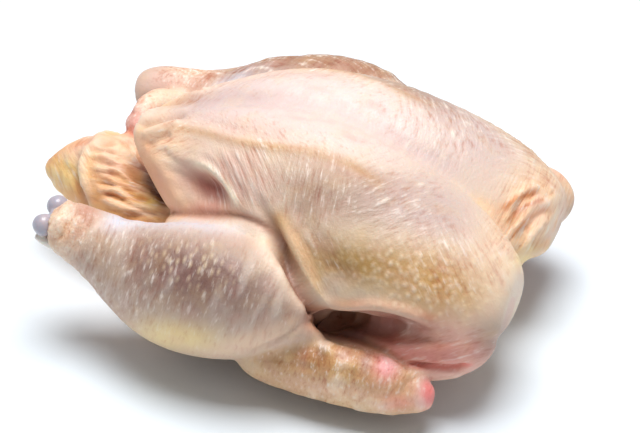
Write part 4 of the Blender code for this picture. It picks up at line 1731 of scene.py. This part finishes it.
@dataclass
class Skin:
    """The bird's whole skin and flesh as one closed surface.

    Attributes:
        anatomy: The forms that it is fused from.
        sight: The camera's plane, in which its folds and colours are placed.
        bones: The shin bones that it gives way to.
    """

    anatomy: Anatomy
    sight: Sight
    bones: tuple[ShinBone, ...]

    FIRST_VOXEL = 1.5 * MM
    VOXEL = 1.3 * MM
    CHANNEL_VOXEL = 0.6 * MM
    BONE_ROOM = 0.25 * MM
    BLEND = 2.4 * MM
    RIM_EDGE = 1.5 * MM
    RIM_START = 0.7
    MOUTH_ENDS = -0.076
    MOUTH_EDGE = 4 * MM
    MOUTH_SHARE = 0.85
    RELIEF_MIDDLE = 0.5
    RELIEF_REACH = 0.45
    RELIEF_HEIGHT = 0.45
    FOLD_COVER = 0.4
    FOLD_START = 0.25
    FOLD_MOST = 0.45
    LINING_STARTS = -0.090
    LINING_GROWS = 12 * MM
    LINING_COVER = 0.9
    LINING_EDGE = 2.5 * MM
    LINING_MOST = 0.95

    def body(self) -> bpy.types.Object:
        """The fused body with its cavity and its bone channels cut out."""
        piece = mesh_object("chicken_skin", [form.grid() for form in self.anatomy.forms()])
        fuse(piece, self.FIRST_VOXEL)
        hollow = mesh_object("hollow", [self.anatomy.hollow().grid()])
        fuse(hollow, self.FIRST_VOXEL)
        carve(piece, hollow)
        for bone in self.bones:
            channel = mesh_object("channel", bone.shells(self.BONE_ROOM))
            fuse(channel, self.CHANNEL_VOXEL)
            carve(piece, channel)
        fuse(piece, self.VOXEL)
        return piece

    def shape(self, mesh: bpy.types.Mesh) -> Surface:
        """Raises the folds and wrinkles on the body and reads back the finished surface.

        Inside the cavity nothing is raised, but behind its mouth the tail keeps most of its folds.
        The relief stored for the material is middle + reach * tanh(wrinkles / height); the material
        paints shade in its valleys and highlight on its ridges.
        """
        points = relax(mesh, vertex_array(mesh))
        set_vertices(mesh, points)
        surface = Surface(points, normal_array(mesh), self.sight)
        surface.read_regions(self.anatomy.forms(), self.BLEND)
        coarse = sum(fold.height * fold.strength(surface) for fold in EVERY_FOLD)
        coarse = coarse + sum(item.height * item.patch.cover(surface) for item in BOWLS)
        fine = sum(item.rise(surface) for item in (*WRINKLES, *BUMPS))
        inside, _, _ = self.anatomy.hollow().locate(points)
        outside = np.clip(inside / self.RIM_EDGE - self.RIM_START, 0, 1)
        behind = np.clip((self.MOUTH_ENDS - points[:, 0]) / self.MOUTH_EDGE, 0, self.MOUTH_SHARE)
        outside = np.maximum(outside, behind)
        points = points + ((coarse + fine) * outside)[:, None] * MM * surface.normals
        points[:, 2] = np.maximum(points[:, 2], 0.0)
        set_vertices(mesh, points)
        surface.points = points
        relief = self.RELIEF_MIDDLE + self.RELIEF_REACH * np.tanh(fine / self.RELIEF_HEIGHT)
        write_attribute(mesh, "relief", "FLOAT", relief)
        return surface

    def colour(self, mesh: bpy.types.Mesh, surface: Surface) -> None:
        """Paints the skin and stores what its material reads.

        The regions' own tints come first, then the paint, painted shade in the creases and painted
        highlight on the crests in the measure of their height, painted shade deep in the gaps, and last
        a dark red-brown that grows deeper inside the cavity.
        """
        surface.tint = surface.regions @ np.array([BASE_TINTS[region] for region in Region])
        for item in PAINT:
            if isinstance(item, Stroke):
                surface.paint(item.strength * item.fold.strength(surface), item.tint)
            else:
                surface.paint(item.cover(surface), item.tint)
        # Painted shade in each crease and painted highlight on each crest, more for a higher fold
        for fold in EVERY_FOLD:
            most = np.clip(self.FOLD_COVER * abs(fold.height) - self.FOLD_START, 0, self.FOLD_MOST)
            surface.paint(most * fold.strength(surface), CREASE_SHADE_TINT if fold.height < 0 else CREST_HIGHLIGHT_TINT)
        # Painted shade deep in the gaps
        for gap in GAP_SHADES:
            surface.paint(gap.cover(surface), gap.tint)
        # A dark red-brown laid on the inside of the cavity, more of it further in
        inside, _, _ = self.anatomy.hollow().locate(surface.points)
        deep = np.clip((surface.points[:, 0] - self.LINING_STARTS) / self.LINING_GROWS, 0, 1)
        lining = np.clip(self.LINING_COVER - inside / self.LINING_EDGE, 0, self.LINING_MOST)
        surface.paint(lining * deep, DEEP_CAVITY_TINT)
        write_attribute(mesh, "tint", "FLOAT_COLOR", surface.tint)
        place = np.column_stack((surface.near, surface.depth)) / Fold.UNITS_PER_MM
        write_attribute(mesh, "place", "FLOAT_VECTOR", place)
        for grain in GRAINS:
            write_attribute(mesh, f"grain_{grain.name}", "FLOAT", grain.share(surface))

    def build(self, finish: bpy.types.Material) -> bpy.types.Object:
        """Makes the piece."""
        piece = self.body()
        surface = self.shape(piece.data)
        self.colour(piece.data, surface)
        piece.data.materials.clear()
        piece.data.materials.append(finish)
        return piece


# The studio


@dataclass(frozen=True)
class Studio:
    """A white table, a large soft lamp above and behind on the left, and white surroundings.

    Attributes:
        lamp_place: Where the lamp is.
        lamp_size: Side of its square.
        lamp_power: Watts.
        fill: Brightness of the surroundings.
    """

    lamp_place: tuple[float, float, float] = (-0.02, 0.09, 1.5)
    lamp_size: float = 0.9
    lamp_power: float = 27.0
    fill: float = 0.27

    FLOOR_HALF = 4.0
    FLOOR_COLOUR = (0.80, 0.87, 0.93, 1.0)
    FLOOR_ROUGHNESS = 0.6
    FLOOR_SHINE = 0.1
    WHITE = (1.0, 1.0, 1.0, 1.0)

    def build(self) -> None:
        """Makes the floor, the lamp and the surroundings."""
        self.place_floor()
        self.place_lamp()
        world = bpy.data.worlds.new("surroundings")
        bpy.context.scene.world = world
        world.use_nodes = True
        background = world.node_tree.nodes["Background"]
        background.inputs["Color"].default_value = self.WHITE
        background.inputs["Strength"].default_value = self.fill
        bpy.context.scene.view_settings.view_transform = "Standard"

    def place_floor(self) -> None:
        """Makes the white table under the bird."""
        half = self.FLOOR_HALF
        mesh = bpy.data.meshes.new("table")
        corners = [(-half, -half, 0), (half, -half, 0), (half, half, 0), (-half, half, 0)]
        mesh.from_pydata(corners, [], [(0, 1, 2, 3)])
        floor = bpy.data.objects.new("table", mesh)
        bpy.context.scene.collection.objects.link(floor)
        made = bpy.data.materials.new("white_table")
        made.use_nodes = True
        shader = made.node_tree.nodes["Principled BSDF"]
        shader.inputs["Base Color"].default_value = self.FLOOR_COLOUR
        shader.inputs["Roughness"].default_value = self.FLOOR_ROUGHNESS
        shader.inputs["Specular IOR Level"].default_value = self.FLOOR_SHINE
        mesh.materials.append(made)

    def place_lamp(self) -> None:
        """Makes the lamp, turned to the bird."""
        data = bpy.data.lights.new("lamp", "AREA")
        data.size = self.lamp_size
        data.energy = self.lamp_power
        lamp = bpy.data.objects.new("lamp", data)
        lamp.location = self.lamp_place
        lamp.rotation_mode = "QUATERNION"
        lamp.rotation_quaternion = Vector(self.lamp_place).to_track_quat("Z", "Y")
        bpy.context.scene.collection.objects.link(lamp)


def main() -> None:
    """Builds the bird in the shared frame and the studio round it."""
    logging.basicConfig(level=logging.INFO, format="%(name)s: %(message)s")
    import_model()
    anatomy = Anatomy()
    sight = Sight()
    left, right = ShinBone(Side.LEFT, anatomy, tendon=True), ShinBone(Side.RIGHT, anatomy)
    gristle = GristleFinish().material()
    skin = Skin(anatomy, sight, (left, right)).build(SkinFinish().material())
    parts = (
        (skin, "chicken", "skin"),
        (left.build(gristle), "left_shin_bone", "left_bone"),
        (right.build(gristle), "right_shin_bone", "right_bone"),
    )
    for piece, node, slot in parts:
        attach(piece, "root")
        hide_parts(node)
        mesh = piece.data
        LOG.info("%s has %d vertices and %d faces", piece.name, len(mesh.vertices), len(mesh.polygons))
    Studio().build()
    sight.place_camera()


if __name__ == "__main__":
    main()
